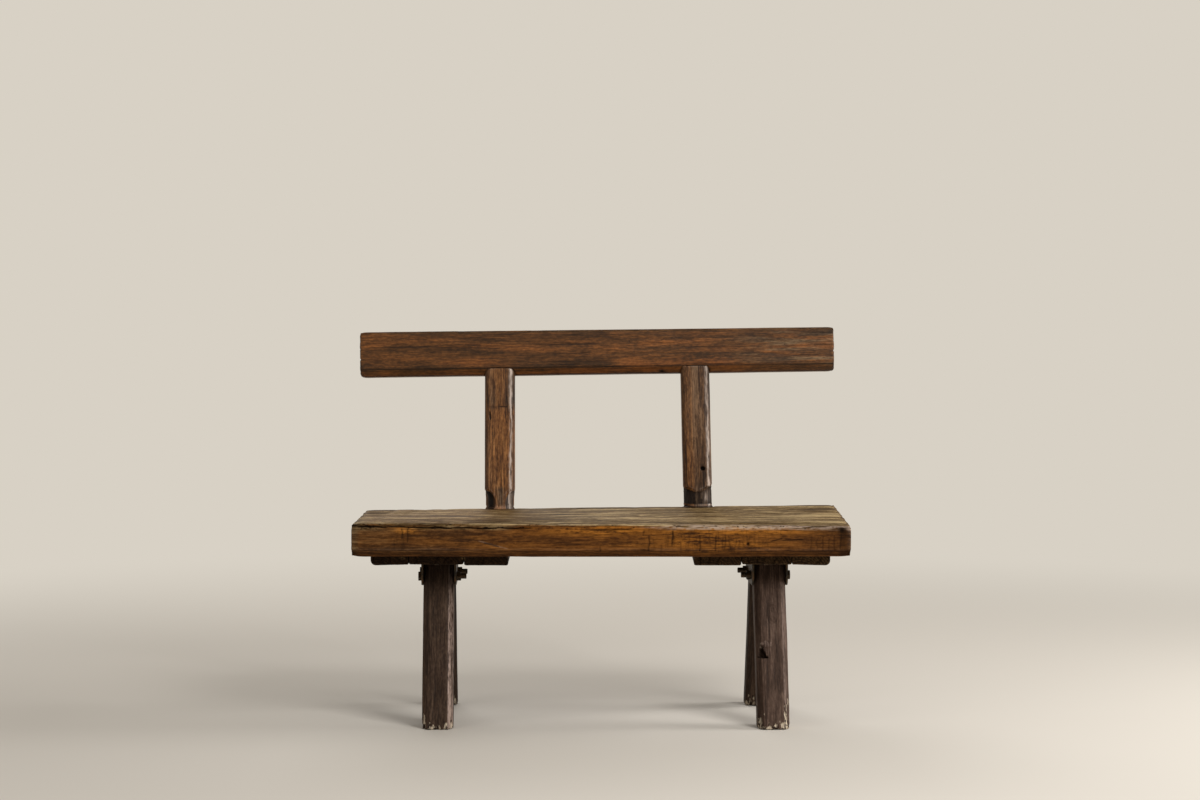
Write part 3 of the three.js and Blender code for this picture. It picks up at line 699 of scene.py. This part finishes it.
# Scratches in the plank's front: start, end, width, depth, strength, and the mask they are painted in
SCRATCHES = (
    ((0.376, 0.4135), (0.402, 0.421), 0.0014, 0.0008, 0.9, "grime_and_shade"),
    ((0.40, 0.4165), (0.448, 0.4185), 0.0014, 0.0008, 0.9, "grime_and_shade"),
    ((-0.250, 0.4115), (-0.215, 0.4015), 0.0016, 0.0012, 0.9, "grime_and_shade"),
    ((-0.262, 0.4155), (-0.196, 0.3970), 0.0013, 0.0, 0.3, "wear_and_highlight"),
)
SCRATCH_WANDER = (0.0005, 40)
# Splits just under the plank's front arris: where each starts and ends, its width and how dark it is
ARRIS_SPLITS = (
    ((-0.525, 0.4458), (-0.46, 0.4457), 0.0018, 1.2),
    ((-0.465, 0.4456), (-0.362, 0.4453), 0.0013, 0.9),
    ((-0.372, 0.4446), (-0.318, 0.4440), 0.0017, 1.1),
    ((-0.322, 0.4436), (-0.205, 0.4424), 0.0013, 1.0),
    ((-0.215, 0.4425), (-0.145, 0.4412), 0.0016, 1.0),
    ((-0.02, 0.4375), (0.075, 0.4410), 0.0013, 0.8),
)
ARRIS_SPLIT_DEPTH = 0.004
ARRIS_SPLIT_WANDER = (0.0016, 24)
# Long splits in the plank's top: where each starts and ends, its width and its depth
TOP_SPLITS = (
    ((-0.535, -0.233), (-0.38, -0.236), 0.0022, 0.003),
    ((-0.47, -0.222), (-0.28, -0.229), 0.0018, 0.002),
    ((-0.33, -0.233), (-0.06, -0.236), 0.002, 0.0025),
    ((-0.52, -0.12), (-0.22, -0.128), 0.0016, 0.002),
    ((-0.10, -0.06), (0.28, -0.07), 0.0016, 0.0025),
    ((0.10, -0.222), (0.30, -0.219), 0.0015, 0.0018),
    ((0.27, -0.205), (0.54, -0.214), 0.002, 0.003),
    ((-0.54, 0.05), (-0.36, 0.043), 0.0018, 0.003),
    ((0.30, 0.09), (0.54, 0.10), 0.0018, 0.003),
    ((-0.20, 0.14), (0.12, 0.15), 0.0015, 0.002),
)
# A nail hole in the plank's front, along it and up
NAIL_HOLE = (0.3265, 0.408)
NAIL_RADIUS = 0.003
NAIL_DEPTH = 0.006
# Painted reflection and shadow of the posts: the top is a little darker in line with their feet
POST_REFLECTION_PLACES = (-0.2266, 0.227)
# Pale spots between the left boards and the plank, along it
PALE_SPOTS = (-0.429, -0.296)
PALE_SPOT_HEIGHT = 0.3728
PALE_SPOT_SIZE = 0.004
# A chip under the rail's front, along it
CHIP_PLACE = 0.1466
CHIP_DEPTH = 0.0025

# Two hollows in the left post's foot, the left one painted in shade and the right one with a painted
# highlight line: the middle and the half size of each, along the bench and up
SHADED_SCOOP = ((-0.2616, 0.462), (0.0263, 0.0286))
LIT_SCOOP = ((-0.1902, 0.459), (0.0235, 0.031))
SCOOP_DEPTH = 0.005
# How far the painted highlight line on each post's front lies from its middle
POST_HIGHLIGHT_LINE = {"left": 0.0252, "right": 0.0238}
# The right post's collar: its middle, its rim's height, and how steeply that rises left and right
COLLAR_MIDDLE = 0.2283
RIM_HEIGHT = 0.4878
RIM_CURVES = (7.5, 13.5)
# The right post's peg hole and small knot, along the bench and up
PEG_HOLE = (0.2398, 0.5409)
PEG_RIM = (0.0042, 0.0054)
PEG_DEPTH = 0.01
EYE_PLACE = (0.2203, 0.6044)
EYE_RINGS = (0.0022, 0.0062)

# The right front leg's fallen knot, the scar above it and the sound knot, along the bench and up
KNOT_TOP = (0.3615, 0.1741)
KNOT_HEIGHT = 0.0226
KNOT_DEPTH = 0.009
SCAR_PLACE = (0.3705, 0.1795)
SCAR_SIZE = (0.0135, 0.008)
FAINT_KNOT = (0.385, 0.2438)
FAINT_KNOT_SIZE = (0.011, 0.019)
FAINT_KNOT_RINGS = (0.35, 0.7, 1.05)
LEGS = (("left", "front"), ("left", "back"), ("right", "front"), ("right", "back"))


# The parts of a piece that are meshed finer, each as a test of a place
LEG_FOOT_TOP = 0.05


def plank_front(place):
    return place.y < FRONT_ZONE


def post_foot(place):
    return 0.445 < place.z < 0.556 and place.y < 0.19


def leg_foot(place):
    return place.z < LEG_FOOT_TOP


def knotted_leg(place):
    return leg_foot(place) or (0.14 < place.z < 0.19 and place.y < -0.15)


LEG_FINE = {"left_front_leg": leg_foot, "right_front_leg": knotted_leg}


def mark_plank_front(surface, top, front):
    x, y, z = surface.place.T
    masks = surface.masks
    for place, low, high, lean, dark in CROSS_MARKS:
        tone = dark * CROSS_MARK_TONE
        start = (low, place)
        end = (high, place + lean)
        crack(surface, Z, X, start, end, where=front, dark=tone, **CROSS_MARK_CUT)
    for start, end, dark in UNDERLINE:
        crack(surface, X, Z, start, end, where=front, dark=dark, **UNDERLINE_CUT)
    below_top = 1 - 0.7 * top
    for start, end, width, dark in ARRIS_SPLITS:
        cut = (width, ARRIS_SPLIT_DEPTH, below_top, ARRIS_SPLIT_WANDER)
        crack(surface, X, Z, start, end, *cut, dark)
    for start, end, width, depth, dark, mask in SCRATCHES:
        crack(surface, X, Z, start, end, width, depth, front, SCRATCH_WANDER, dark, mask)
    nail = spot(np.hypot(x - NAIL_HOLE[0], z - NAIL_HOLE[1]), 0, NAIL_RADIUS) * front
    surface.depth += nail * NAIL_DEPTH
    masks["grime_and_shade"] += nail * 1.5
    for middle, width, height, tall, strength in GOLDEN:
        patch = spot(x, middle, width) * spot(z, height, tall) * front * strength
        masks["tint_and_highlight"] += patch * (0.8 + 0.5 * surface.noise((9, 60, 60), 8))
    ends = rise(0.52, 0.532, np.abs(x)) * front
    masks["grime_and_shade"] += ends * 0.3 + 0.28 * front * rise(0.41, 0.49, x)
    masks["grime_and_shade"] += 0.08 * front * (1 - rise(-0.44, -0.3, x))
    masks["grime_and_shade"] += 0.45 * front * spot(x, 0.53, 0.012) * spot(z, 0.438, 0.008)
    underline = (1 - rise(0.3885, 0.3925, z)) * (y < SEAT_FRONT + 0.012)
    masks["grime_and_shade"] += 0.3 * underline
    masks["wear_and_highlight"] *= rise(0.391, 0.398, z)
    masks["grey"] += ends * 0.25 * (x < 0) + front * 0.08 * (1 - rise(-0.4, -0.1, x))
    zone = rise(0.05, 0.12, x) * (1 - rise(0.38, 0.45, x))
    masks["marks"] += front * (0.45 * zone + 0.35 * rise(0.44, 0.5, x))


def wear_front_arris(surface):
    """The front arris is chipped in the middle, and rubbed pale towards the right, where a highlight is
    painted along it and along its crest.
    """
    x, y, z = surface.place.T
    masks = surface.masks
    arris = spot(y, SEAT_FRONT + 0.003, 0.008) * rise(0.436, 0.444, z)
    lumps = surface.noise((26, 120, 120), 12, 3)
    chipped = arris * spot(x, -0.07, 0.09) * rise(0.1, 0.7, lumps)
    surface.depth += chipped * 0.003
    masks["tint_and_highlight"] += chipped
    masks["grey"] -= chipped
    olive = arris * (1 - rise(-0.24, -0.16, x)) * np.clip(0.6 + 0.7 * lumps, 0, 1)
    masks["grime_and_shade"] += olive * 0.45
    masks["grey"] += olive * 0.8
    scuffs = surface.noise((130, 300, 300), 15, 3)
    # The rubbed right part is worn pale and carries a painted highlight
    rubbed_highlight = arris * rise(0.1, 0.2, x) * np.clip(0.7 + 0.6 * scuffs, 0, 1)
    masks["wear_and_highlight"] += rubbed_highlight
    masks["grey"] += rubbed_highlight
    # A thin painted highlight along the arris's crest
    crest_highlight = spot(z, 0.4445, 0.0014) * (1 - surface.facing((0, 0, 1))) * rise(0.06, 0.16, x)
    masks["wear_and_highlight"] += crest_highlight * np.clip(0.5 + 0.5 * scuffs, 0, 1) * (y < SEAT_FRONT + 0.02)
    broken = arris * rise(0.5, 0.8, surface.noise((150, 300, 300), 13, 3))
    surface.depth += broken * 0.001
    masks["grime_and_shade"] += broken * 0.8
    gold = spot(z, 0.4415, 0.0022) * surface.facing((0, -1, 0)) * rise(0.1, 0.2, x)
    masks["tint_and_highlight"] += gold * (1 - rise(0.28, 0.36, x))
    dull = spot(y, SEAT_FRONT + 0.05, 0.06) * (1 - rise(-0.12, 0.02, x))
    dull *= rise(0.44, 0.45, z)
    masks["grime_and_shade"] += dull * np.clip(0.2 + 0.8 * surface.noise((9, 60, 60), 14), 0, 0.7)


def round_plank_corners(surface):
    """The plank's upper and lower edges are worn down at both ends, and a highlight is painted where
    the right end meets the front arris.
    """
    x, y, z = surface.place.T
    low, high = (np.array(corner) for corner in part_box("seat_plank"))
    for end, (upper_wear, lower_wear) in ((low[0], LEFT_CORNER_WEAR), (high[0], RIGHT_CORNER_WEAR)):
        near_end = spot(x, end, 0.013)
        upper = near_end * rise(0.436, 0.452, z)
        lower = near_end * (1 - rise(0.386, 0.398, z))
        surface.depth += upper_wear * upper + lower_wear * lower
        surface.masks["grey"] += 0.4 * upper
    # A painted highlight where the right end meets the front arris
    shine = spot(x, high[0], 0.006) * spot(z, 0.4425, 0.005) * (y < SEAT_FRONT + 0.012)
    surface.masks["wear_and_highlight"] += 0.9 * shine
    surface.masks["grime_and_shade"] *= 1 - 0.8 * shine


def make_plank():
    surface = Surface("seat_plank", PLANK_GRAIN, PLANK_CELL, PLANK_SEED, PLANK_PITH, plank_front)
    x = surface.place[:, X]
    masks = surface.masks
    top = surface.facing((0, 0, 1))
    front = surface.facing((0, -1, 0))
    hew(surface, waviness=0.0012, furrows=0.0005)
    furrowed = np.abs(surface.noise((4, 34, 34), 6, 3))
    surface.depth += top * 0.0012 * (1 - np.clip(furrowed * 2, 0, 1))
    round_edges(surface, radius=0.005, depth=0.001, chips=0.0014, wear_and_highlight=0.2)
    end_grain(surface)
    left_in = PLANK_LEFT_IN * surface.facing((-1, 0, 0))
    surface.depth += left_in - PLANK_RIGHT_OUT * surface.facing((1, 0, 0))
    surface.depth -= PLANK_UNDER_OUT * surface.facing((0, 0, -1)) + PLANK_TOP_OUT * top
    masks["grey"] += top * 0.95
    masks["grime_and_shade"] += top * 0.13 * rise(0.2, 0.45, x)
    warm = top * (1 - rise(-0.3, 0, x))
    masks["grey"] -= 0.07 * warm
    masks["tint_and_highlight"] += 0.9 * warm
    for start, end, width, depth in TOP_SPLITS:
        crack(surface, X, Y, start, end, width, depth, top)
    # Painted reflection and shadow of each post on the top
    for foot in POST_REFLECTION_PLACES:
        masks["grime_and_shade"] += top * 0.16 * spot(x, foot, 0.04)
    mark_plank_front(surface, top, front)
    wear_front_arris(surface)
    round_plank_corners(surface)
    surface.finish("hewn_seat_plank", SEAT_WOOD, "seat_wood")


def make_rail():
    surface = Surface("back_rail", RAIL_GRAIN, BAR_CELL, RAIL_SEED, RAIL_PITH)
    hew(surface, waviness=0.001, furrows=0.0003)
    round_edges(surface, radius=0.003, depth=0.0004, chips=0.001, wear_and_highlight=0.2)
    end_grain(surface, -0.001)
    masks = surface.masks
    reach = np.abs(surface.points)
    half = reach.max(axis=0)
    corner = spot(reach[:, 0], half[0], 0.007)
    corner *= rise(half[2] - 0.01, half[2] - 0.002, reach[:, 2])
    surface.depth += corner * 0.0018
    front = surface.facing((0, -1, 0))
    x = surface.place[:, X]
    masks["grey"] += surface.facing((0, 0, 1)) * 0.6
    masks["grime_and_shade"] += 0.2 * rise(0.035, 0.045, surface.points[:, 2])
    wisps = np.clip(0.45 + 1.2 * surface.noise((14, 150, 150), 10), 0, 1)
    masks["grey"] += front * rise(0.26, 0.46, x) * wisps * 0.9
    masks["tint_and_highlight"] += front * 0.8 * np.clip(surface.noise((4, 22, 22), 9), 0, 1)
    low_half = surface.points[:, 2] < -0.02
    # Painted shade on the lower front chamfer, which faces down
    below = surface.facing((0, -0.79, -0.62), 0.9, 0.97) * low_half
    masks["grime_and_shade"] += below * 0.12
    line = spot(surface.edge, 0, 0.002) * low_half * surface.facing((0, -0.9, -0.44), 0.6, 0.8)
    masks["grime_and_shade"] += line * 0.9
    surface.depth += line * 0.0008
    low_edge = 1 - rise(-0.046, -0.041, surface.points[:, 2])
    chip = spot(x, CHIP_PLACE, 0.007) * below * low_edge
    masks["grime_and_shade"] += chip * 0.8
    surface.depth += chip * CHIP_DEPTH
    surface.finish("hewn_back_rail", RAIL_WOOD, "rail_wood")


def scoop(surface, middle, size, depth):
    """Cuts a hollow with a crisp oval rim in a piece's front, and gives how far each point is in it."""
    x, _, z = surface.place.T
    reach = np.hypot((x - middle[0]) / size[0], (z - middle[1]) / size[1])
    front = surface.facing((0, -1, 0), -0.3, 0.1)
    inside = front * (1 - rise(0.93, 1.0, reach))
    surface.depth += inside * depth * np.clip(1.3 - reach, 0, 1)
    return inside


def wear_left_foot(surface):
    """The left post's foot with its two hollows, the left one painted in shade and the right one with a
    painted highlight line, and a cross crack and a short split higher up.
    """
    x, _, z = surface.place.T
    masks = surface.masks
    front = surface.facing((0, -1, 0))
    dark = scoop(surface, *SHADED_SCOOP, SCOOP_DEPTH)
    lit_scoop = scoop(surface, *LIT_SCOOP, SCOOP_DEPTH)
    # The left hollow is painted dark, as shade
    masks["grime_and_shade"] += dark * 0.75
    mottle = surface.noise((50, 110, 110), 21, 3)
    # The right hollow is greyer and darker towards its top, with a painted highlight line down it
    masks["grey"] += lit_scoop
    masks["wear_and_highlight"] += lit_scoop * np.clip(0.55 + 0.5 * mottle, 0, 1) * spot(x, -0.2015, 0.006)
    masks["grime_and_shade"] += lit_scoop * (0.2 + 0.4 * rise(0.478, 0.484, z))
    tongue = spot(x, -0.2235, 0.011) * rise(0.45, 0.46, z) * (1 - rise(0.49, 0.505, z))
    masks["grey"] += front * tongue * 0.8
    crack(surface, X, Z, (-0.252, 0.6805), (-0.208, 0.683), 0.0012, 0.0015, front, (0.0006, 60))
    crack(surface, Z, X, (0.651, -0.2482), (0.672, -0.2495), 0.002, 0.004, front, (0.0004, 60), 1.5)


def wear_right_foot(surface):
    """The right post's foot with its collar, painted dark as shade under the shoulder with a painted
    highlight on its right, and the peg hole and small knot higher up.
    """
    x, _, z = surface.place.T
    masks = surface.masks
    front = surface.facing((0, -1, 0), -0.3, 0.1)
    off = x - COLLAR_MIDDLE
    curve = np.where(off > 0, RIM_CURVES[1], RIM_CURVES[0])
    rim = RIM_HEIGHT + curve * off**2 + 0.0012 * line_noise(x, 160, 5)
    collar = front * (1 - rise(-0.0006, 0.0006, z - rim)) * rise(0.4585, 0.46, z)
    mottle = surface.noise((70, 160, 160), 22, 3)
    surface.depth += collar * (0.0018 + 0.0006 * mottle)
    masks["grime_and_shade"] *= 1 - collar
    masks["tint_and_highlight"] *= 1 - collar
    masks["wear_and_highlight"] *= 1 - collar
    specks = surface.noise((150, 260, 260), 28, 3)
    # The collar is painted dark and mottled, as shade under the shoulder above it
    masks["grime_and_shade"] += collar * np.clip(0.68 + 0.3 * specks + 0.1 * mottle, 0, 1)
    # A painted highlight low on the collar's right side
    lit = collar * spot(x, 0.2495, 0.0065) * spot(z, 0.474, 0.013)
    masks["grime_and_shade"] -= lit * 0.55
    masks["wear_and_highlight"] += lit * np.clip(0.5 + 0.6 * mottle + 0.3 * specks, 0, 1)
    masks["grey"] += collar
    ring = front * spot(z, 0.4575, 0.0022)
    masks["tint_and_highlight"] += ring
    masks["grime_and_shade"] += front * spot(z, 0.4535, 0.002) * 0.8
    reach = np.hypot(x - PEG_HOLE[0], z - PEG_HOLE[1])
    hole = front * (1 - rise(*PEG_RIM, reach))
    surface.depth += hole * PEG_DEPTH
    # The peg hole is painted dark, as shade inside it
    masks["grime_and_shade"] += hole * 3
    swirl = front * spot(reach, 0.009, 0.004) * rise(-0.2, 0.6, mottle)
    masks["grime_and_shade"] += swirl * 0.35
    reach = np.hypot(x - EYE_PLACE[0], z - EYE_PLACE[1]) + 0.0006 * specks
    for radius in EYE_RINGS:
        masks["grime_and_shade"] += front * spot(reach, radius, 0.0011) * 0.45
    ruddy = (1 - rise(-0.017, -0.004, surface.points[:, 1])) * (1 - collar) * front
    masks["grey"] *= 1 - 0.6 * ruddy
    masks["grime_and_shade"] += 0.22 * ruddy


def make_posts():
    for side, wear_foot in (("left", wear_left_foot), ("right", wear_right_foot)):
        left = side == "left"
        seed = POST_SEEDS[side]
        surface = Surface(f"{side}_post", post_grain(side), BAR_CELL, seed, POST_PITH, post_foot)
        hew(surface, waviness=0.0007, furrows=0.0003)
        round_edges(surface, radius=0.002, depth=0.0003, chips=0.0006, wear_and_highlight=0.2)
        patina = surface.noise((5, 34, 34), 23)
        masks = surface.masks
        masks["grey"] += (0.15 if left else 0.82) + 0.35 * np.clip(-patina, 0, 1)
        masks["tint_and_highlight"] += np.clip(patina, 0, 1) * (0.7 if left else 0.35)
        if left:
            above_crack = rise(0.66, 0.7, surface.place[:, Z])
            above_crack *= np.clip(0.7 - patina * 0.4, 0, 1)
            masks["tint_and_highlight"] *= 1 - 0.9 * above_crack
            masks["grey"] += 0.65 * above_crack
        # A painted highlight: a pale line down each post's front where the rounded right corner catches
        # the light
        off = surface.points[:, 1] - POST_HIGHLIGHT_LINE[side]
        frayed = 0.0008 * line_noise(surface.points[:, 0], 130, 9)
        lit = surface.facing((0.3, -0.95, 0), 0.4, 0.6) * spot((off + frayed) / 0.0042, 0, 1) ** 2
        masks["wear_and_highlight"] += lit * np.clip(0.9 + 0.6 * surface.noise((16, 60, 60), 24), 0, 1.2)
        # Painted shade on the left chamfer, which faces away from the light
        shaded = surface.facing((-0.7, -0.7, 0), 0.9, 0.97)
        masks["grime_and_shade"] += shaded * 0.35
        wear_foot(surface)
        surface.finish(f"hewn_{side}_post", POST_WOOD, "post_wood")


def wear_leg_foot(surface, tall, right_tall):
    """Pale wood where the foot's edges are broken out, higher up by right_tall on its right."""
    own = surface.points
    x, _, height = surface.place.T
    corner = rise(0.032, 0.042, np.hypot(own[:, 1], own[:, 2]))
    right = rise(0.02, 0.03, x - np.mean(x))
    line = 0.009 + corner * (tall + right * right_tall)
    ragged = line * (0.8 + 1.3 * surface.noise((60, 170, 170), 7, 3))
    chipped = rise(-0.001, 0.001, ragged - height)
    patchy = rise(-0.4, 0.0, surface.noise((110, 240, 240), 27))
    surface.masks["wear_and_highlight"] += chipped * patchy * 1.1
    surface.masks["grime_and_shade"] += chipped * (1 - patchy) * 0.5
    surface.depth += chipped * 0.002


def mark_knots(surface):
    """A fallen knot with its scar above it, and a sound one higher up."""
    x, _, z = surface.place.T
    masks = surface.masks
    front = surface.facing((0, -0.93, 0.37), 0.3, 0.6)
    share = np.clip((KNOT_TOP[1] - z) / KNOT_HEIGHT, 0, 1)
    torn = 0.0024 * surface.noise((260, 260, 260), 29)
    left = KNOT_TOP[0] - 0.0016 - 0.0078 * np.sqrt(share) + torn
    right = KNOT_TOP[0] + 0.0016 + 0.0100 * share**1.6 + torn
    hole = rise(-0.0008, 0.0008, x - left) * (1 - rise(-0.0008, 0.0008, x - right))
    hole *= front * rise(0.1495, 0.1525, z) * (1 - rise(-0.001, 0.001, z - KNOT_TOP[1]))
    surface.depth += hole * KNOT_DEPTH
    # The knot's hole is painted dark, as shade inside it
    masks["grime_and_shade"] += hole * 3
    ridges = surface.noise((150, 150, 150), 25)
    reach = np.hypot((x - SCAR_PLACE[0]) / SCAR_SIZE[0], (z - SCAR_PLACE[1]) / SCAR_SIZE[1])
    scar = front * (1 - rise(0.6, 1.1, reach)) * (1 - hole)
    surface.depth -= scar * 0.001 * (1 + ridges)
    masks["tint_and_highlight"] += scar * (0.85 + 1.6 * ridges)
    masks["grime_and_shade"] += scar * np.clip(-ridges, 0, 1)
    rim = front * spot(x, KNOT_TOP[0] - 0.0042, 0.0011) * rise(0.155, 0.162, z)
    rim *= 1 - rise(0.176, 0.184, z)
    masks["wear_and_highlight"] += rim * np.clip(0.5 + ridges, 0, 0.8)
    along = (x - FAINT_KNOT[0]) / FAINT_KNOT_SIZE[0]
    reach = np.hypot(along, (z - FAINT_KNOT[1]) / FAINT_KNOT_SIZE[1]) + 0.12 * ridges
    for radius in FAINT_KNOT_RINGS:
        masks["grime_and_shade"] += front * spot(reach, radius, 0.1) * 0.4


def make_legs():
    for index, (side, row) in enumerate(LEGS):
        node = f"{side}_{row}_leg"
        way = -1 if row == "front" else 1
        seed = LEG_SEED + index
        zone = LEG_FINE.get(node)
        surface = Surface(node, leg_grain(side, way), BAR_CELL, seed, LEG_PITH, zone)
        height = surface.place[:, Z]
        masks = surface.masks
        hew(surface, waviness=0.0009, furrows=0.0003)
        round_edges(surface, radius=0.003, depth=0.0008, chips=0.0018, wear_and_highlight=0.0)
        lit = surface.facing((0.72, -0.65, -0.26 * way), 0.94, 0.98)
        streaky = np.clip(0.6 + 0.8 * surface.noise((6, 130, 130), 26), 0, 1)
        masks["grey"] += 0.2 if side == "left" else 0.8
        # Painted shade at the head of each leg, under the boards
        head = rise(0.26, 0.335, height)
        masks["grime_and_shade"] += 0.62 * head if side == "left" else 0.35 * head**3
        if row == "front":
            # A painted highlight on each front leg's right chamfer, fading towards the top, laid on
            # through the tint mask
            lit *= 1.1 - 0.7 * rise(0.14, 0.32, height)
            masks["tint_and_highlight"] += lit * streaky * (1.3 if side == "left" else 1.15)
            # Painted shade on each front leg's left chamfer
            dark = surface.facing((-0.68, -0.69, -0.26 * way), 0.94, 0.98)
            masks["grime_and_shade"] += dark * (0.1 if side == "left" else 0.4)
            wear_leg_foot(surface, 0.012, 0.002 if side == "left" else 0.02)
        else:
            masks["grey"] *= 0.1
            # The back legs are painted darker, as shade under the bench
            masks["grime_and_shade"] += 0.3
            wear_leg_foot(surface, 0.004, 0.0)
        if node == "right_front_leg":
            mark_knots(surface)
        surface.finish(f"hewn_{node}", LEG_WOOD, "leg_wood")


def make_under_boards():
    index = 0
    for side in ("left", "right"):
        for board in ("outer_cleat", "inner_cleat", "head_block"):
            seed = BOARD_SEED + index
            surface = Surface(f"{side}_{board}", ACROSS, BOARD_CELL, seed, BOARD_PITH)
            hew(surface, waviness=0.0005, furrows=0.0002)
            round_edges(surface, radius=0.002, depth=0.0004, chips=0.001, wear_and_highlight=0.2)
            end_grain(surface)
            if side == "right":
                surface.masks["grey"] += 0.85 if board == "outer_cleat" else 0.45
            x, _, z = surface.place.T
            # Pale spots on the boards just under the plank
            for pale_spot in PALE_SPOTS:
                reach = np.hypot(x - pale_spot, 2 * (z - PALE_SPOT_HEIGHT))
                surface.masks["wear_and_highlight"] += 2.5 * spot(reach, 0, PALE_SPOT_SIZE)
            surface.finish(f"hewn_{side}_{board}", CLEAT_WOOD, "cleat_wood")
            index += 1
        seed = WEDGE_SEED + index
        wedge = Surface(f"{side}_post_wedge", post_grain(side), WEDGE_CELL, seed, WEDGE_PITH)
        wedge.masks["grey"] += 0.6
        wedge.finish(f"hewn_{side}_post_wedge", CLEAT_WOOD, "cleat_wood")


# The stage. The floor fades into the background between two distances from its middle
FLOOR_SIZE = 300.0
FLOOR_FADE_START = 1.2
FLOOR_FADE_END = 3.6
FLOOR_COLOUR = srgb(214, 207, 196)
BACKGROUND = srgb(216, 209, 197)
SOFT_LIGHT = srgb(230, 222, 210)
SOFT_STRENGTH = 0.32
LIGHT_TARGET = (0, 0, 0.45)
# Each light's name, place, width, height and power
LIGHTS = (
    ("key", (2.2, -3.0, 2.8), 1.8, 1.8, 115),
    ("window", (3.4, 0.2, 1.7), 1.2, 2.0, 70),
    ("fill", (-3.4, -2.6, 1.6), 2.2, 2.2, 20),
    ("rear", (-0.8, 3.3, 2.7), 2.0, 1.4, 42),
)


def paint_iron():
    for node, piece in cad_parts.items():
        if node.endswith(("_bracket", "_bolt", "_nut", "_screw")):
            for slot in piece.material_slots:
                slot.material = IRON


def make_stage():
    """A pale floor round the bench that fades into an even pale background."""
    bpy.ops.mesh.primitive_plane_add(size=FLOOR_SIZE)
    floor = bpy.context.object
    floor.name = "floor"
    graph = Graph(bpy.data.materials.new("floor"))
    place = graph.add("ShaderNodeTexCoord").outputs["Object"]
    reach = graph.add("ShaderNodeVectorMath", {0: place}, operation="LENGTH").outputs["Value"]
    rays = graph.add("ShaderNodeLightPath").outputs
    seen = graph.math("MAXIMUM", rays["Is Camera Ray"], rays["Is Glossy Ray"])
    fade = graph.math("MULTIPLY", graph.steps(reach, FLOOR_FADE_START, FLOOR_FADE_END), seen)
    matt = graph.add("ShaderNodeBsdfPrincipled", {"Base Color": FLOOR_COLOUR, "Roughness": 0.85})
    even = graph.add("ShaderNodeEmission", {"Color": BACKGROUND, "Strength": 1.0})
    both = graph.add("ShaderNodeMixShader", {0: fade, 1: matt.outputs[0], 2: even.outputs[0]})
    graph.add("ShaderNodeOutputMaterial", {"Surface": both.outputs[0]})
    floor.data.materials.append(graph.owner)


def make_light(name, place, width, height, power):
    light = bpy.data.lights.new(name, "AREA")
    light.shape = "RECTANGLE"
    light.size = width
    light.size_y = height
    light.energy = power
    holder = add_object(name, light)
    holder.location = place
    aim = Vector(LIGHT_TARGET) - Vector(place)
    holder.rotation_euler = aim.to_track_quat("-Z", "Y").to_euler()


def make_lights():
    for light in LIGHTS:
        make_light(*light)
    world = bpy.data.worlds.new("studio")
    bpy.context.scene.world = world
    graph = Graph(world)
    rays = graph.add("ShaderNodeLightPath").outputs
    soft = graph.add("ShaderNodeBackground", {"Color": SOFT_LIGHT, "Strength": SOFT_STRENGTH})
    even = graph.add("ShaderNodeBackground", {"Color": BACKGROUND})
    inputs = {0: rays["Is Camera Ray"], 1: soft.outputs[0], 2: even.outputs[0]}
    both = graph.add("ShaderNodeMixShader", inputs)
    graph.add("ShaderNodeOutputWorld", {"Surface": both.outputs[0]})


def make_camera():
    camera = bpy.data.cameras.new("camera")
    camera.sensor_width = SENSOR_WIDTH
    camera.lens = CAMERA_LENS
    holder = add_object("camera", camera)
    holder.location = CAMERA_PLACE
    holder.rotation_euler = (math.radians(CAMERA_PITCH), 0, 0)
    bpy.context.scene.camera = holder


make_camera()
make_stage()
make_lights()
make_plank()
make_rail()
make_posts()
make_legs()
make_under_boards()
paint_iron()

bpy.context.scene.view_settings.view_transform = "Standard"
